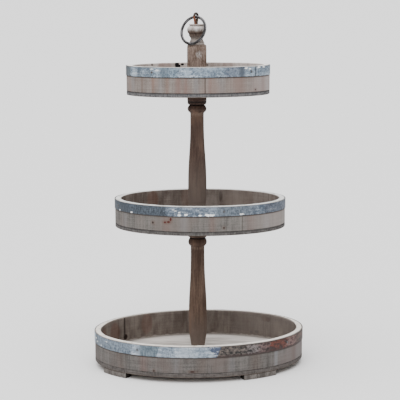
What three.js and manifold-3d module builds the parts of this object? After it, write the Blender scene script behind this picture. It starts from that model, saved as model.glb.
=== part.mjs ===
// Three-tier oval tray stand: three wooden trays with metal bands, clamped between turned posts
// on one line, with four low feet and a carrying ring that hangs from an eye screw on the knob.
// Millimetres, Z up, X to the right, Y to the back. The origin is on the ground under the middle
// of the bottom tray.
import * as THREE from 'three';
import { mergeVertices } from 'three/addons/utils/BufferGeometryUtils.js';
import Module from 'manifold-3d';

const wasm = await Module();
wasm.setup();

// Sizes that the whole stand shares
const fit = 0.3;          // gap between pieces that touch
const overrun = 2;        // how far a cutter reaches past the face that it cuts
const weld = 0.0001;      // points closer than this are one point
const rebate = 1.5;       // how deep a tray's walls stand in the rebate round their board

// The trays. length and depth are the outer oval, offset is how far the tray's middle sits to the
// right of the posts' line, and turn is how far the hand-fitted tray stands turned about it.
const trays = {
  bottom: {
    length: 478, depth: 335, board: 11.5, wall: 14, wallHeight: 60, bandWidth: 24.5,
    offset: 2.4, turn: 5, seams: [-54, 38, 144, 224], lapEnd: 78, nails: [142, 232, 322],
  },
  middle: {
    length: 385, depth: 269, board: 10.5, wall: 14, wallHeight: 55.5, bandWidth: 21.5,
    offset: 5.9, turn: -0.6, seams: [-61, 29, 119, 209], lapEnd: 110, nails: [18, 200, 286],
  },
  top: {
    length: 320, depth: 224, board: 10.5, wall: 14, wallHeight: 56, bandWidth: 21.5,
    offset: 3, turn: 4.7, seams: [-88, 2, 84, 178], lapEnd: -42, nails: [40, 135, 228],
  },
};
const wallSides = ['right', 'back', 'left', 'front'];

// Metal bands: a strip bent round the oval, its end lapped over its start and nailed
const band = { thickness: 1.2, rimDrop: 0.8, lap: 26, lapRise: 14 };
const bandNail = { shankRadius: 1.1, length: 11, headRadius: 2.7, headHeight: 1 };

// Screws that go up through a tray's board into its wall, and through the feet
const floorScrew = { shankRadius: 1.7, length: 30, headRadius: 3.5, headHeight: 2.4, tip: 4 };
const footScrew = { shankRadius: 1.9, length: 34, headRadius: 3.9, headHeight: 2.7, tip: 4 };
const foot = {
  height: 11.7, depth: 22, places: [213, 301.9, 33, 121.9], lengths: [72, 84, 72, 84],
};
const footNames = ['front_left', 'front_right', 'back_right', 'back_left'];

// The turned posts. Each tapers to a round foot on the tray below it and ends under the tray
// above it in a square stub, which is the stock that the post was turned from.
const stock = { side: 43, arris: 2 };
const shoulder = 6.5;     // height over which the turning rounds off the square
const posts = {
  lower: {
    length: 296.5, stub: 20.8, groove: 16.8, bead: 21.3, beadHeight: 19, cove: 4, coveDepth: 1.2,
    neck: 15.6, neckHeight: 8, swell: 20.9, swellHeight: 168, footRadius: 13.2, footTaper: 46,
  },
  upper: {
    length: 287.5, stub: 17, groove: 16.2, bead: 21.4, beadHeight: 17.4, cove: 5, coveDepth: 1.2,
    neck: 15.1, neckHeight: 8, swell: 20.9, swellHeight: 162, footRadius: 13.2, footTaper: 46,
  },
};

// How far a bead's curve bows out towards its corner: under its widest line and over it
const bowShares = { foot: 0.35, head: 0.75 };

// The hollows under and over the finial's neck: where the corner of each curve lies between the
// neck and the wider place, outwards and along
const hollowShares = { out: 0.35, along: 0.45 };

// The finial: a square block on the top tray's board, a turned neck and a flattened knob. Its
// block's shoulder starts to round off below the block's height and ends above it.
const finial = {
  block: 96, flare: 17.2, flareHeight: 3.2, neck: 12.9, neckRise: 9.5, ledge: 17.1,
  ledgeRise: 6, ledgeHeight: 4.5, knob: 21.1, knobRise: 9.4, knobDome: 8.1, knobBow: 2.4,
  capGroove: 15.7, grooveHeight: 1.3, cap: 16.9, capHeight: 2.6,
};

// Hardware on the posts' line.
const stud = { radius: 4, length: 72 };
const baseScrew = { radius: 4, length: 52, headRadius: 7, headHeight: 3.6 };
const washer = { radius: 12, thickness: 1.5 };
// The eye was driven in a little to the left of the posts' line, turned with the ring by yaw.
const eye = {
  wire: 5.5, hole: 8.4, collarRadius: 4.3, collarHeight: 9.3, shankRadius: 2.8, shankLength: 30,
  offset: 1.6,
};
const ring = { wire: 6.3, inside: 55.7, yaw: -35, leanStep: 0.25 };

// How round things are cut into faces
const faces = { oval: 60, turned: 20, curve: 5, swell: 9, wire: 8, ring: 40, eye: 20, small: 6 };

const radians = THREE.MathUtils.degToRad;
const up = new THREE.Vector3(0, 1, 0);     // a lathe's own axis
const middlePoint = new THREE.Vector2(0, 0);

// Materials, one for each kind of surface
const finishes = {
  wall: { color: 0x9b9089, roughness: 0.85, metalness: 0 },
  board: { color: 0xb9b3ab, roughness: 0.85, metalness: 0 },
  foot: { color: 0x847b75, roughness: 0.85, metalness: 0 },
  post: { color: 0x4f4139, roughness: 0.7, metalness: 0 },
  finial: { color: 0x8a7c70, roughness: 0.8, metalness: 0 },
  band: { color: 0x98a3ad, roughness: 0.5, metalness: 0.9 },
  nail: { color: 0x5d6166, roughness: 0.5, metalness: 0.9 },
  screw: { color: 0x8d9092, roughness: 0.4, metalness: 1 },
  eye: { color: 0x6d432b, roughness: 0.7, metalness: 0.6 },
  ring: { color: 0x3c3b3d, roughness: 0.4, metalness: 0.9 },
};

// A closed three.js geometry as a solid that can be joined and cut. Triangles that a lathe draws
// without area on its axis are left out.
function solid(geometry) {
  const bare = geometry.clone();
  bare.deleteAttribute('normal');
  bare.deleteAttribute('uv');
  const merged = mergeVertices(bare, weld);
  const corners = merged.index.array;
  const kept = [];
  for (let i = 0; i < corners.length; i += 3) {
    const [a, b, c] = [corners[i], corners[i + 1], corners[i + 2]];
    if (a !== b && b !== c && c !== a) kept.push(a, b, c);
  }
  return new wasm.Manifold(new wasm.Mesh({
    numProp: 3,
    vertProperties: new Float32Array(merged.attributes.position.array),
    triVerts: new Uint32Array(kept),
  }));
}

// A named mesh from a solid
function piece(name, shape, finish) {
  const { vertProperties, triVerts } = shape.getMesh();
  const geometry = new THREE.BufferGeometry();
  geometry.setAttribute('position', new THREE.BufferAttribute(vertProperties, 3));
  geometry.setIndex(new THREE.BufferAttribute(triVerts, 1));
  geometry.computeVertexNormals();
  const mesh = new THREE.Mesh(geometry, new THREE.MeshStandardMaterial(finishes[finish]));
  mesh.name = name;
  return mesh;
}

// A solid of revolution from points of radius and height, standing on Z
function turned(points, segments) {
  const lathe = new THREE.LatheGeometry(points, segments);
  lathe.rotateX(Math.PI / 2);
  return solid(lathe);
}

// A flat outline raised along Z
function raised(outline, height, holes = []) {
  const shape = new THREE.Shape(outline);
  shape.holes = holes;
  return solid(new THREE.ExtrudeGeometry(shape, { depth: height, bevelEnabled: false }));
}

function roundHole(x, y, radius) {
  const hole = new THREE.Path();
  hole.absarc(x, y, radius, 0, 2 * Math.PI, true);
  return new THREE.Path(hole.getPoints(faces.small));
}

// The angle between two corners of the many-sided oval that every piece of a tray follows
const ovalStep = (2 * Math.PI) / faces.oval;

// The corner of that oval at an angle, moved inwards, square to the oval, by inset
function ovalCorner(tray, angle, inset) {
  const across = tray.length / 2;
  const along = tray.depth / 2;
  const normal = ovalNormal(tray, angle);
  return new THREE.Vector2(
    across * Math.cos(angle) - inset * normal.x,
    along * Math.sin(angle) - inset * normal.y,
  );
}

// The point at any angle, on the straight side between two corners
function ovalPoint(tray, angle, inset) {
  const before = Math.floor(angle / ovalStep);
  const share = angle / ovalStep - before;
  const next = ovalCorner(tray, (before + 1) * ovalStep, inset);
  return ovalCorner(tray, before * ovalStep, inset).lerp(next, share);
}

// Two angles with those of all the corners between them
function ovalAngles(from, to) {
  const angles = [from];
  for (let i = Math.floor(from / ovalStep) + 1; i * ovalStep < to; i += 1) angles.push(i * ovalStep);
  angles.push(to);
  return angles;
}

function ovalNormal(tray, angle) {
  const normal = new THREE.Vector2(
    Math.cos(angle) / (tray.length / 2),
    Math.sin(angle) / (tray.depth / 2),
  );
  return normal.normalize();
}

// The angle that a length along the oval's rim takes up at an angle
function ovalAngle(tray, angle, length) {
  const speed = Math.hypot(
    (tray.length / 2) * Math.sin(angle),
    (tray.depth / 2) * Math.cos(angle),
  );
  return length / speed;
}

// The whole oval, seen from above, moved inwards by inset
function ovalOutline(tray, inset) {
  const points = [];
  for (let i = 0; i < faces.oval; i += 1) points.push(ovalCorner(tray, i * ovalStep, inset));
  return points;
}

// A piece of the oval ring between two angles and two insets
function ovalArc(tray, from, to, outer, inner) {
  const outside = [];
  const inside = [];
  for (const angle of ovalAngles(from, to)) {
    outside.push(ovalPoint(tray, angle, outer));
    inside.unshift(ovalPoint(tray, angle, inner));
  }
  return [...outside, ...inside];
}

// The height in a tray of its walls' foot, in the rebate
function wallFoot(tray) {
  return tray.board - rebate + fit;
}

// The board with its hole on the posts' line. The rebate round its edge leaves a raised field,
// which the walls stand close around.
function boardShape(tray, axis, axisHole) {
  const field = new THREE.Path(ovalOutline(tray, tray.wall + fit));
  const cutter = raised(ovalOutline(tray, -overrun), rebate + overrun, [field]);
  return raised(ovalOutline(tray, 0), tray.board, [roundHole(axis.x, axis.y, axisHole)])
    .subtract(cutter.translate([0, 0, tray.board - rebate]));
}

// Outline of a countersunk screw that points up, its head's face at height zero. grow widens it
// to the hole that it needs.
function screwOutline(screw, grow) {
  const shank = screw.shankRadius + grow;
  const head = screw.headRadius + grow;
  const face = grow > 0 ? -overrun : 0;
  return [
    new THREE.Vector2(0, face),
    new THREE.Vector2(head, face),
    new THREE.Vector2(head, grow),
    new THREE.Vector2(shank, screw.headHeight + grow),
    new THREE.Vector2(shank, screw.length - screw.tip + grow),
    new THREE.Vector2(0, screw.length + grow),
  ];
}

// Outline of a band nail, its shank below height zero and its low round head above
function nailOutline(nail) {
  return [
    new THREE.Vector2(0, -nail.length),
    new THREE.Vector2(nail.shankRadius, -nail.length + 2 * nail.shankRadius),
    new THREE.Vector2(nail.shankRadius, 0),
    new THREE.Vector2(nail.headRadius, 0),
    new THREE.Vector2(nail.headRadius, nail.headHeight / 2),
    new THREE.Vector2(nail.headRadius / 2, nail.headHeight),
    new THREE.Vector2(0, nail.headHeight),
  ];
}

// The drill for a nail, from outside its head to past its point
function nailDrill(nail) {
  const radius = nail.shankRadius + fit;
  return [
    new THREE.Vector2(0, -nail.length - fit),
    new THREE.Vector2(radius, -nail.length - fit),
    new THREE.Vector2(radius, nail.headHeight + overrun),
    new THREE.Vector2(0, nail.headHeight + overrun),
  ];
}

// Where a tray's nails go: the angle, and how far their heads seat outside the oval
function nailSpots(tray) {
  const lapEnd = radians(tray.lapEnd);
  const lapMiddle = lapEnd - ovalAngle(tray, lapEnd, band.lap / 2);
  const single = fit + band.thickness + fit;
  const doubled = single + band.thickness + fit;
  return [
    { angle: lapMiddle, seat: doubled },
    ...tray.nails.map((degrees) => ({ angle: radians(degrees), seat: single })),
  ];
}

// The place and the turn of a nail that is driven square into the oval's rim
function nailPlace(tray, spot) {
  const point = ovalPoint(tray, spot.angle, -spot.seat);
  const normal = ovalNormal(tray, spot.angle);
  const bandMiddle = wallFoot(tray) + tray.wallHeight - band.rimDrop - tray.bandWidth / 2;
  const outward = new THREE.Vector3(normal.x, normal.y, 0);
  return {
    position: new THREE.Vector3(point.x, point.y, bandMiddle),
    quaternion: new THREE.Quaternion().setFromUnitVectors(up, outward),
  };
}

function nailHoles(tray) {
  return nailSpots(tray).map((spot) => {
    const place = nailPlace(tray, spot);
    const drill = new THREE.LatheGeometry(nailDrill(bandNail), faces.small);
    drill.applyQuaternion(place.quaternion);
    drill.translate(place.position.x, place.position.y, place.position.z);
    return solid(drill);
  });
}

// The side and the two end angles of each wall segment, from one seam to the next
function wallSpans(tray) {
  return tray.seams.map((seam, i) => {
    const next = tray.seams[(i + 1) % tray.seams.length];
    const end = next > seam ? next : next + 360;
    return { side: wallSides[i], from: radians(seam), to: radians(end) };
  });
}

// The places in the tray's own frame of the screws that go up through its board
function floorScrewSpots(tray) {
  return wallSpans(tray).map((span) => {
    const middle = (span.from + span.to) / 2;
    return { side: span.side, point: ovalPoint(tray, middle, tray.wall / 2) };
  });
}

function footScrewSpots(tray) {
  return foot.places.map((degrees) => ovalPoint(tray, radians(degrees), tray.wall / 2));
}

// The hole that a screw needs, with its head's face at height
function screwHole(screw, point, height) {
  return turned(screwOutline(screw, fit), faces.small).translate([point.x, point.y, height]);
}

// One tray in its own frame: the oval's middle on the Z axis and the board's underside at zero.
// fasteners are the screws that come up through it from below.
function makeTray(name, tray, axisHole, fromBelow) {
  const group = new THREE.Group();
  const axis = new THREE.Vector2(-tray.offset, 0).rotateAround(middlePoint, -radians(tray.turn));
  const screws = floorScrewSpots(tray);
  const drills = nailHoles(tray);

  let board = boardShape(tray, axis, axisHole);
  for (const { point } of screws) board = board.subtract(screwHole(floorScrew, point, 0));
  for (const { screw, point, height } of fromBelow) {
    board = board.subtract(screwHole(screw, point, height));
  }
  group.add(piece(`${name}_floor`, board, 'board'));

  for (const { side, from, to } of wallSpans(tray)) {
    const start = from + ovalAngle(tray, from, fit / 2);
    const end = to - ovalAngle(tray, to, fit / 2);
    let wall = raised(ovalArc(tray, start, end, 0, tray.wall), tray.wallHeight);
    wall = wall.translate([0, 0, wallFoot(tray)]);
    for (const { point } of screws) wall = wall.subtract(screwHole(floorScrew, point, 0));
    for (const { screw, point, height } of fromBelow) {
      wall = wall.subtract(screwHole(screw, point, height));
    }
    for (const drill of drills) wall = wall.subtract(drill);
    group.add(piece(`${name}_wall_${side}`, wall, 'wall'));
  }

  let strip = raised(bandOutline(tray), tray.bandWidth);
  strip = strip.translate([0, 0, wallFoot(tray) + tray.wallHeight - band.rimDrop - tray.bandWidth]);
  for (const drill of drills) strip = strip.subtract(drill);
  group.add(piece(`${name}_band`, strip, 'band'));

  nailSpots(tray).forEach((spot, i) => {
    const lathe = new THREE.LatheGeometry(nailOutline(bandNail), faces.small);
    const nail = piece(`${name}_band_nail_${i + 1}`, solid(lathe), 'nail');
    const place = nailPlace(tray, spot);
    nail.position.copy(place.position);
    nail.quaternion.copy(place.quaternion);
    group.add(nail);
  });

  for (const { side, point } of screws) {
    const shape = turned(screwOutline(floorScrew, 0), faces.small);
    const screw = piece(`${name}_floor_screw_${side}`, shape, 'screw');
    screw.position.set(point.x, point.y, 0);
    group.add(screw);
  }
  return group;
}

// The band's strip seen from above. It starts under its lap, goes once round close to the wall,
// rises by its own thickness and ends on top of its start.
function bandOutline(tray) {
  const end = radians(tray.lapEnd) + 2 * Math.PI;
  const lap = ovalAngle(tray, end, band.lap);
  const rise = ovalAngle(tray, end, band.lapRise);
  const start = end - lap - 2 * Math.PI;
  const lapStart = end - lap;
  const riseStart = lapStart - rise;
  const angles = [
    ...ovalAngles(start, riseStart),
    ...ovalAngles(riseStart, lapStart).slice(1),
    ...ovalAngles(lapStart, end).slice(1),
  ];
  const outside = [];
  const inside = [];
  for (const angle of angles) {
    const risen = THREE.MathUtils.clamp((angle - riseStart) / rise, 0, 1);
    const stand = fit + risen * (band.thickness + fit);
    inside.unshift(ovalPoint(tray, angle, -stand));
    outside.push(ovalPoint(tray, angle, -stand - band.thickness));
  }
  return [...outside, ...inside];
}

// Square stock with its four arrises taken off, from height zero to height
function squareStock(height) {
  const half = stock.side / 2;
  const flat = half - stock.arris;
  const outline = new THREE.Path();
  outline.absarc(flat, flat, stock.arris, 0, Math.PI / 2, false);
  outline.absarc(-flat, flat, stock.arris, Math.PI / 2, Math.PI, false);
  outline.absarc(-flat, -flat, stock.arris, Math.PI, 1.5 * Math.PI, false);
  outline.absarc(flat, -flat, stock.arris, 1.5 * Math.PI, 2 * Math.PI, false);
  return raised(outline.getPoints(2), height + 2 * overrun).translate([0, 0, -overrun]);
}

// Curves of an outline as points, each with its number of steps, without repeated points
function outlinePoints(curves) {
  const points = [];
  for (const [curve, steps] of curves) {
    const next = curve.getPoints(steps);
    if (points.length > 0 && next[0].distanceTo(points[points.length - 1]) < weld) next.shift();
    points.push(...next);
  }
  return points;
}

const at = (radius, height) => new THREE.Vector2(radius, height);
const line = (...ends) => [new THREE.LineCurve(...ends), 1];
const bend = (from, corner, to, steps = faces.curve) => [
  new THREE.QuadraticBezierCurve(from, corner, to),
  steps,
];

// Radius of the stock's corners, past which a turned outline leaves the square whole
const cornerRadius = stock.side / Math.SQRT2 + overrun;

// The bore for half a stud, or for the base screw, and its depth
const studBore = stud.radius + fit;
const baseBore = baseScrew.radius + fit;

function studDepth(board) {
  return (stud.length - board) / 2;
}

// The outline of a post between two trays, from its round foot up to the square stub. The
// shoulder under the stub falls from the stock's corners to the groove in one convex curve.
function postOutline(post, footBore, footDepth, headBore, headDepth) {
  const stubFoot = post.length - post.stub;
  const groove = stubFoot - shoulder;
  const beadFoot = groove - post.beadHeight;
  const neckTop = beadFoot - post.cove;
  const neckFoot = neckTop - post.neckHeight;
  const swellFoot = neckFoot - post.swellHeight;
  const taper = (post.swell - post.footRadius) / (post.footTaper + post.cove);
  const kneeRadius = post.footRadius + taper * post.footTaper;
  const beadHalf = post.beadHeight / 2;
  const beadMiddle = groove - beadHalf;
  const coveRadius = post.neck + post.coveDepth;
  const swellCurve = new THREE.CubicBezierCurve(
    at(post.swell, swellFoot),
    at(post.swell, (swellFoot + neckFoot) / 2),
    at(post.neck, (swellFoot + neckFoot) / 2),
    at(post.neck, neckFoot),
  );
  return outlinePoints([
    line(at(0, footDepth), at(footBore, footDepth)),
    line(at(footBore, footDepth), at(footBore, 0)),
    line(at(footBore, 0), at(post.footRadius, 0)),
    line(at(post.footRadius, 0), at(kneeRadius, post.footTaper)),
    bend(at(kneeRadius, post.footTaper), at(post.swell, post.footTaper + post.cove),
      at(post.swell, swellFoot), 4),
    [swellCurve, faces.swell],
    line(at(post.neck, neckFoot), at(post.neck, neckTop)),
    bend(at(post.neck, neckTop), at(post.neck, beadFoot - post.cove * bowShares.foot),
      at(coveRadius, beadFoot), 3),
    bend(at(coveRadius, beadFoot), at(post.bead, beadFoot + beadHalf * bowShares.foot),
      at(post.bead, beadMiddle)),
    bend(at(post.bead, beadMiddle),
      at(post.groove + (post.bead - post.groove) * bowShares.head, groove - beadHalf * bowShares.foot),
      at(post.groove, groove)),
    bend(at(post.groove, groove), at(stock.side / 2, groove), at(stock.side / 2, stubFoot), 4),
    bend(at(stock.side / 2, stubFoot), at(stock.side / 2, stubFoot + shoulder),
      at(cornerRadius, stubFoot + shoulder), 4),
    line(at(cornerRadius, stubFoot + shoulder), at(cornerRadius, post.length)),
    line(at(cornerRadius, post.length), at(headBore, post.length)),
    line(at(headBore, post.length), at(headBore, post.length - headDepth)),
    line(at(headBore, post.length - headDepth), at(0, post.length - headDepth)),
  ]);
}

// Heights of the finial's turned parts above its foot
const shoulderTop = finial.block + shoulder / 2;
const flareTop = shoulderTop + finial.flareHeight;
const neckMiddle = flareTop + finial.neckRise;
const ledgeFoot = neckMiddle + finial.ledgeRise;
const ledgeTop = ledgeFoot + finial.ledgeHeight;
const knobMiddle = ledgeTop + finial.knobRise;
const knobTop = knobMiddle + finial.knobDome;
const capFoot = knobTop + finial.grooveHeight;
const finialHeight = capFoot + finial.capHeight;

// The corner of a hollow curve between a narrow place and a wide one
function hollowCorner(narrow, wide) {
  return at(
    THREE.MathUtils.lerp(narrow.x, wide.x, hollowShares.out),
    THREE.MathUtils.lerp(narrow.y, wide.y, hollowShares.along),
  );
}

// The turned outline of the finial from its shoulder up to its cap
function finialTurning() {
  const flareEdge = at(finial.flare, flareTop);
  const neckLine = at(finial.neck, neckMiddle);
  const ledgeEdge = at(finial.ledge, ledgeFoot);
  return outlinePoints([
    bend(at(cornerRadius, finial.block - shoulder), at(stock.side / 2, finial.block - shoulder / 2),
      at(stock.side / 2, finial.block - shoulder / 4), 3),
    bend(at(stock.side / 2, finial.block - shoulder / 4), at(stock.side / 2, shoulderTop),
      at(finial.flare, shoulderTop), 4),
    line(at(finial.flare, shoulderTop), flareEdge),
    bend(flareEdge, hollowCorner(neckLine, flareEdge), neckLine),
    bend(neckLine, hollowCorner(neckLine, ledgeEdge), ledgeEdge),
    line(ledgeEdge, at(finial.ledge, ledgeTop)),
    bend(at(finial.ledge, ledgeTop), at(finial.knob, ledgeTop + finial.knobBow),
      at(finial.knob, knobMiddle)),
    bend(at(finial.knob, knobMiddle), at(finial.knob, knobTop - finial.knobBow),
      at(finial.capGroove, knobTop)),
    line(at(finial.capGroove, knobTop), at(finial.capGroove, capFoot)),
    line(at(finial.capGroove, capFoot), at(finial.cap, capFoot)),
    line(at(finial.cap, capFoot), at(finial.cap, finialHeight)),
  ]);
}

function finialOutline(studHole, studHoleDepth) {
  return [
    at(0, studHoleDepth), at(studHole, studHoleDepth), at(studHole, 0), at(cornerRadius, 0),
    ...finialTurning(), at(0, finialHeight),
  ];
}

// Heights of the stack, from the ground up
const boards = { bottom: trays.bottom.board, middle: trays.middle.board, top: trays.top.board };
const bottomHeight = foot.height + fit;
const lowerPostFoot = bottomHeight + boards.bottom + fit;
const middleHeight = lowerPostFoot + posts.lower.length + fit;
const upperPostFoot = middleHeight + boards.middle + fit;
const topHeight = upperPostFoot + posts.upper.length + fit;
const finialFoot = topHeight + boards.top + fit;
const eyeFoot = finialFoot + finialHeight + fit;
const postLine = -trays.bottom.offset;     // the posts' line, left of the bottom tray's middle
const eyeLine = postLine - eye.offset;

// A rod or screw on the posts' line, as points of radius and height
function rodOutline(radius, length) {
  const chamfer = radius / 4;
  return [
    at(0, 0), at(radius - chamfer, 0), at(radius, chamfer), at(radius, length - chamfer),
    at(radius - chamfer, length), at(0, length),
  ];
}

function onLine(mesh, height) {
  mesh.position.set(postLine, 0, height);
  return mesh;
}

// The foot of a stud that reaches as far below a board as above it
function studFoot(boardFoot, board) {
  return boardFoot - studDepth(board);
}

const stand = new THREE.Group();

// Feet: curved blocks under the bottom board, flush with the wall's outer face
const footSpots = footScrewSpots(trays.bottom);
const bottomTurn = new THREE.Group();
bottomTurn.rotation.z = radians(trays.bottom.turn);
foot.places.forEach((degrees, i) => {
  const middle = radians(degrees);
  const half = ovalAngle(trays.bottom, middle, foot.lengths[i] / 2);
  const outline = ovalArc(trays.bottom, middle - half, middle + half, 0, foot.depth);
  let block = raised(outline, foot.height);
  block = block.subtract(screwHole(footScrew, footSpots[i], 0));
  bottomTurn.add(piece(`foot_${footNames[i]}`, block, 'foot'));
  const screwShape = turned(screwOutline(footScrew, 0), faces.small);
  const screw = piece(`foot_screw_${footNames[i]}`, screwShape, 'screw');
  screw.position.set(footSpots[i].x, footSpots[i].y, 0);
  bottomTurn.add(screw);
});
stand.add(bottomTurn);

// Trays, each turned about its own middle
const footHoles = footSpots.map((point) => ({ screw: footScrew, point, height: -bottomHeight }));
const levels = [
  ['bottom', trays.bottom, bottomHeight, baseBore, footHoles],
  ['middle', trays.middle, middleHeight, studBore, []],
  ['top', trays.top, topHeight, studBore, []],
];
for (const [name, tray, height, axisHole, fromBelow] of levels) {
  const group = makeTray(name, tray, axisHole, fromBelow);
  group.position.set(postLine + tray.offset, 0, height);
  group.rotation.z = radians(tray.turn);
  stand.add(group);
}

// Posts and finial, turned from square stock
const baseReach = baseScrew.length - boards.bottom + fit;
const middleReach = studDepth(boards.middle) + fit;
const topReach = studDepth(boards.top) + fit;
const lowerShape = turned(
  postOutline(posts.lower, baseBore, baseReach, studBore, middleReach), faces.turned,
).intersect(squareStock(posts.lower.length));
const upperShape = turned(
  postOutline(posts.upper, studBore, middleReach, studBore, topReach), faces.turned,
).intersect(squareStock(posts.upper.length));
const eyeBore = turned([
  at(0, -eye.shankLength - fit), at(eye.shankRadius + fit, -eye.shankLength - fit),
  at(eye.shankRadius + fit, overrun), at(0, overrun),
], faces.small * 2).translate([-eye.offset, 0, finialHeight]);
const finialShape = turned(finialOutline(studBore, topReach), faces.turned)
  .intersect(squareStock(finialHeight))
  .subtract(eyeBore);
stand.add(onLine(piece('lower_post', lowerShape, 'post'), lowerPostFoot));
stand.add(onLine(piece('upper_post', upperShape, 'post'), upperPostFoot));
stand.add(onLine(piece('finial', finialShape, 'finial'), finialFoot));

// The base screw with its washer, and the studs that draw the posts together through the trays
const baseShape = turned([
  at(0, -washer.thickness - fit - baseScrew.headHeight),
  at(baseScrew.headRadius, -washer.thickness - fit - baseScrew.headHeight),
  at(baseScrew.headRadius, -washer.thickness - fit),
  at(baseScrew.radius, -washer.thickness - fit),
  at(baseScrew.radius, baseScrew.length - baseScrew.radius),
  at(0, baseScrew.length),
], faces.small * 2);
const washerShape = turned([
  at(baseBore, -washer.thickness), at(washer.radius, -washer.thickness), at(washer.radius, 0),
  at(baseBore, 0), at(baseBore, -washer.thickness),
], faces.turned);
stand.add(onLine(piece('base_screw', baseShape, 'screw'), bottomHeight - fit));
stand.add(onLine(piece('base_washer', washerShape, 'screw'), bottomHeight - fit));
const studShape = turned(rodOutline(stud.radius, stud.length), faces.small * 2);
stand.add(onLine(piece('middle_stud', studShape, 'screw'), studFoot(middleHeight, boards.middle)));
stand.add(onLine(piece('top_stud', studShape, 'screw'), studFoot(topHeight, boards.top)));

// The eye screw: a wire loop on a tapered collar, with its shank in the knob
const loopRadius = (eye.hole + eye.wire) / 2;
const loopHeight = eye.collarHeight + loopRadius;
const loop = new THREE.TorusGeometry(loopRadius, eye.wire / 2, faces.wire, faces.eye);
loop.rotateX(Math.PI / 2);
loop.rotateZ(Math.PI / 2);
const collar = turned([
  at(0, -eye.shankLength), at(eye.shankRadius, -eye.shankLength), at(eye.shankRadius, 0),
  at(eye.collarRadius, 0), at(eye.collarRadius, eye.collarHeight / 2),
  at(eye.wire / 2, eye.collarHeight + eye.wire / 4), at(0, eye.collarHeight + eye.wire / 4),
], faces.small * 2);
const eyePiece = piece('eye_screw', solid(loop).translate([0, 0, loopHeight]).add(collar), 'eye');
eyePiece.rotation.z = radians(ring.yaw);
eyePiece.position.set(eyeLine, 0, eyeFoot);
stand.add(eyePiece);

// The ring hangs in the eye's hole and leans on the finial
const ringRadius = (ring.inside + ring.wire) / 2;
const hangHeight = loopHeight - eye.hole / 2 + ring.wire / 2 + fit;

// How close the ring's wire comes to the turned finial when it leans by an angle: for points
// round the ring, the least distance from the wire's middle to the finial's outline
function ringClearance(lean) {
  const outline = finialTurning();
  const count = 4 * faces.ring;
  let least = Infinity;
  for (let i = 1; i < count; i += 1) {
    const round = (2 * Math.PI * i) / count;
    const down = ringRadius * (1 - Math.cos(round));
    const place = new THREE.Vector2(ringRadius * Math.sin(round), -down * Math.sin(lean));
    place.rotateAround(middlePoint, radians(ring.yaw));
    const height = finialHeight + fit + hangHeight - down * Math.cos(lean);
    const point = at(Math.hypot(place.x - eye.offset, place.y), height);
    for (let k = 1; k < outline.length; k += 1) {
      const edge = outline[k].clone().sub(outline[k - 1]);
      const share = point.clone().sub(outline[k - 1]).dot(edge) / edge.lengthSq();
      const nearest = edge.multiplyScalar(THREE.MathUtils.clamp(share, 0, 1)).add(outline[k - 1]);
      least = Math.min(least, point.distanceTo(nearest));
    }
  }
  return least - ring.wire / 2;
}

// The lean at which the ring comes to rest: the first one, swinging down from straight ahead,
// that brings it within the gap of the finial
function restLean() {
  const step = radians(ring.leanStep);
  let lean = Math.PI / 2;
  while (lean > 0 && ringClearance(lean - step) > fit) lean -= step;
  return lean;
}

const ringShape = solid(new THREE.TorusGeometry(ringRadius, ring.wire / 2, faces.wire, faces.ring));
const ringPiece = piece('handle_ring', ringShape, 'ring');
ringPiece.position.set(0, 0, -ringRadius);
ringPiece.rotation.x = Math.PI / 2;
const swing = new THREE.Group();
swing.rotation.x = -restLean();
swing.add(ringPiece);
const hang = new THREE.Group();
hang.rotation.z = radians(ring.yaw);
hang.position.set(eyeLine, 0, eyeFoot + hangHeight);
hang.add(swing);
stand.add(hang);

export default stand;
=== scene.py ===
"""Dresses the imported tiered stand: weathered wooden trays with worn metal bands, turned posts,
a whitewashed finial and an iron ring, in front of a camera that stands where the photograph's did.

Metres, Z up, X to the right, Y to the back. A colour is written as it shows on a screen, 0 to 255.
"""

import math

import bpy
import numpy as np
from mathutils import Matrix, Vector


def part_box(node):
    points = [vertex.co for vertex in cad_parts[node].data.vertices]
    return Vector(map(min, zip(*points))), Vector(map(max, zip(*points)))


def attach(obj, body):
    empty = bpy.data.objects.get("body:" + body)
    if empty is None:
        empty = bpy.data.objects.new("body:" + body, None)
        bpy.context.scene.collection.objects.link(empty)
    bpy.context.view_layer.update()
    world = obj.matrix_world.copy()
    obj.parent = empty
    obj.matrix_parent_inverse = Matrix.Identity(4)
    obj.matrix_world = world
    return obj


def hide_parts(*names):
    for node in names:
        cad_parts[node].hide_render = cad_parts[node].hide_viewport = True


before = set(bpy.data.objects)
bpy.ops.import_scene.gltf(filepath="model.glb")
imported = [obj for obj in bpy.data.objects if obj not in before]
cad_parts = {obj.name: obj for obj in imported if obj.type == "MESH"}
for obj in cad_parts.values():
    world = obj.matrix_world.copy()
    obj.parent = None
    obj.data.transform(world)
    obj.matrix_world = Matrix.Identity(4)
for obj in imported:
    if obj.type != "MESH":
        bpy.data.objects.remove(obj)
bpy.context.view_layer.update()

MM = 0.001
GAP = 0.3 * MM
POST_LINE = -2.4 * MM
MATT = 0.15
SHARP_EDGE = math.radians(38)
SIDES = ("right", "back", "left", "front")


# Shader graphs

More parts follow.
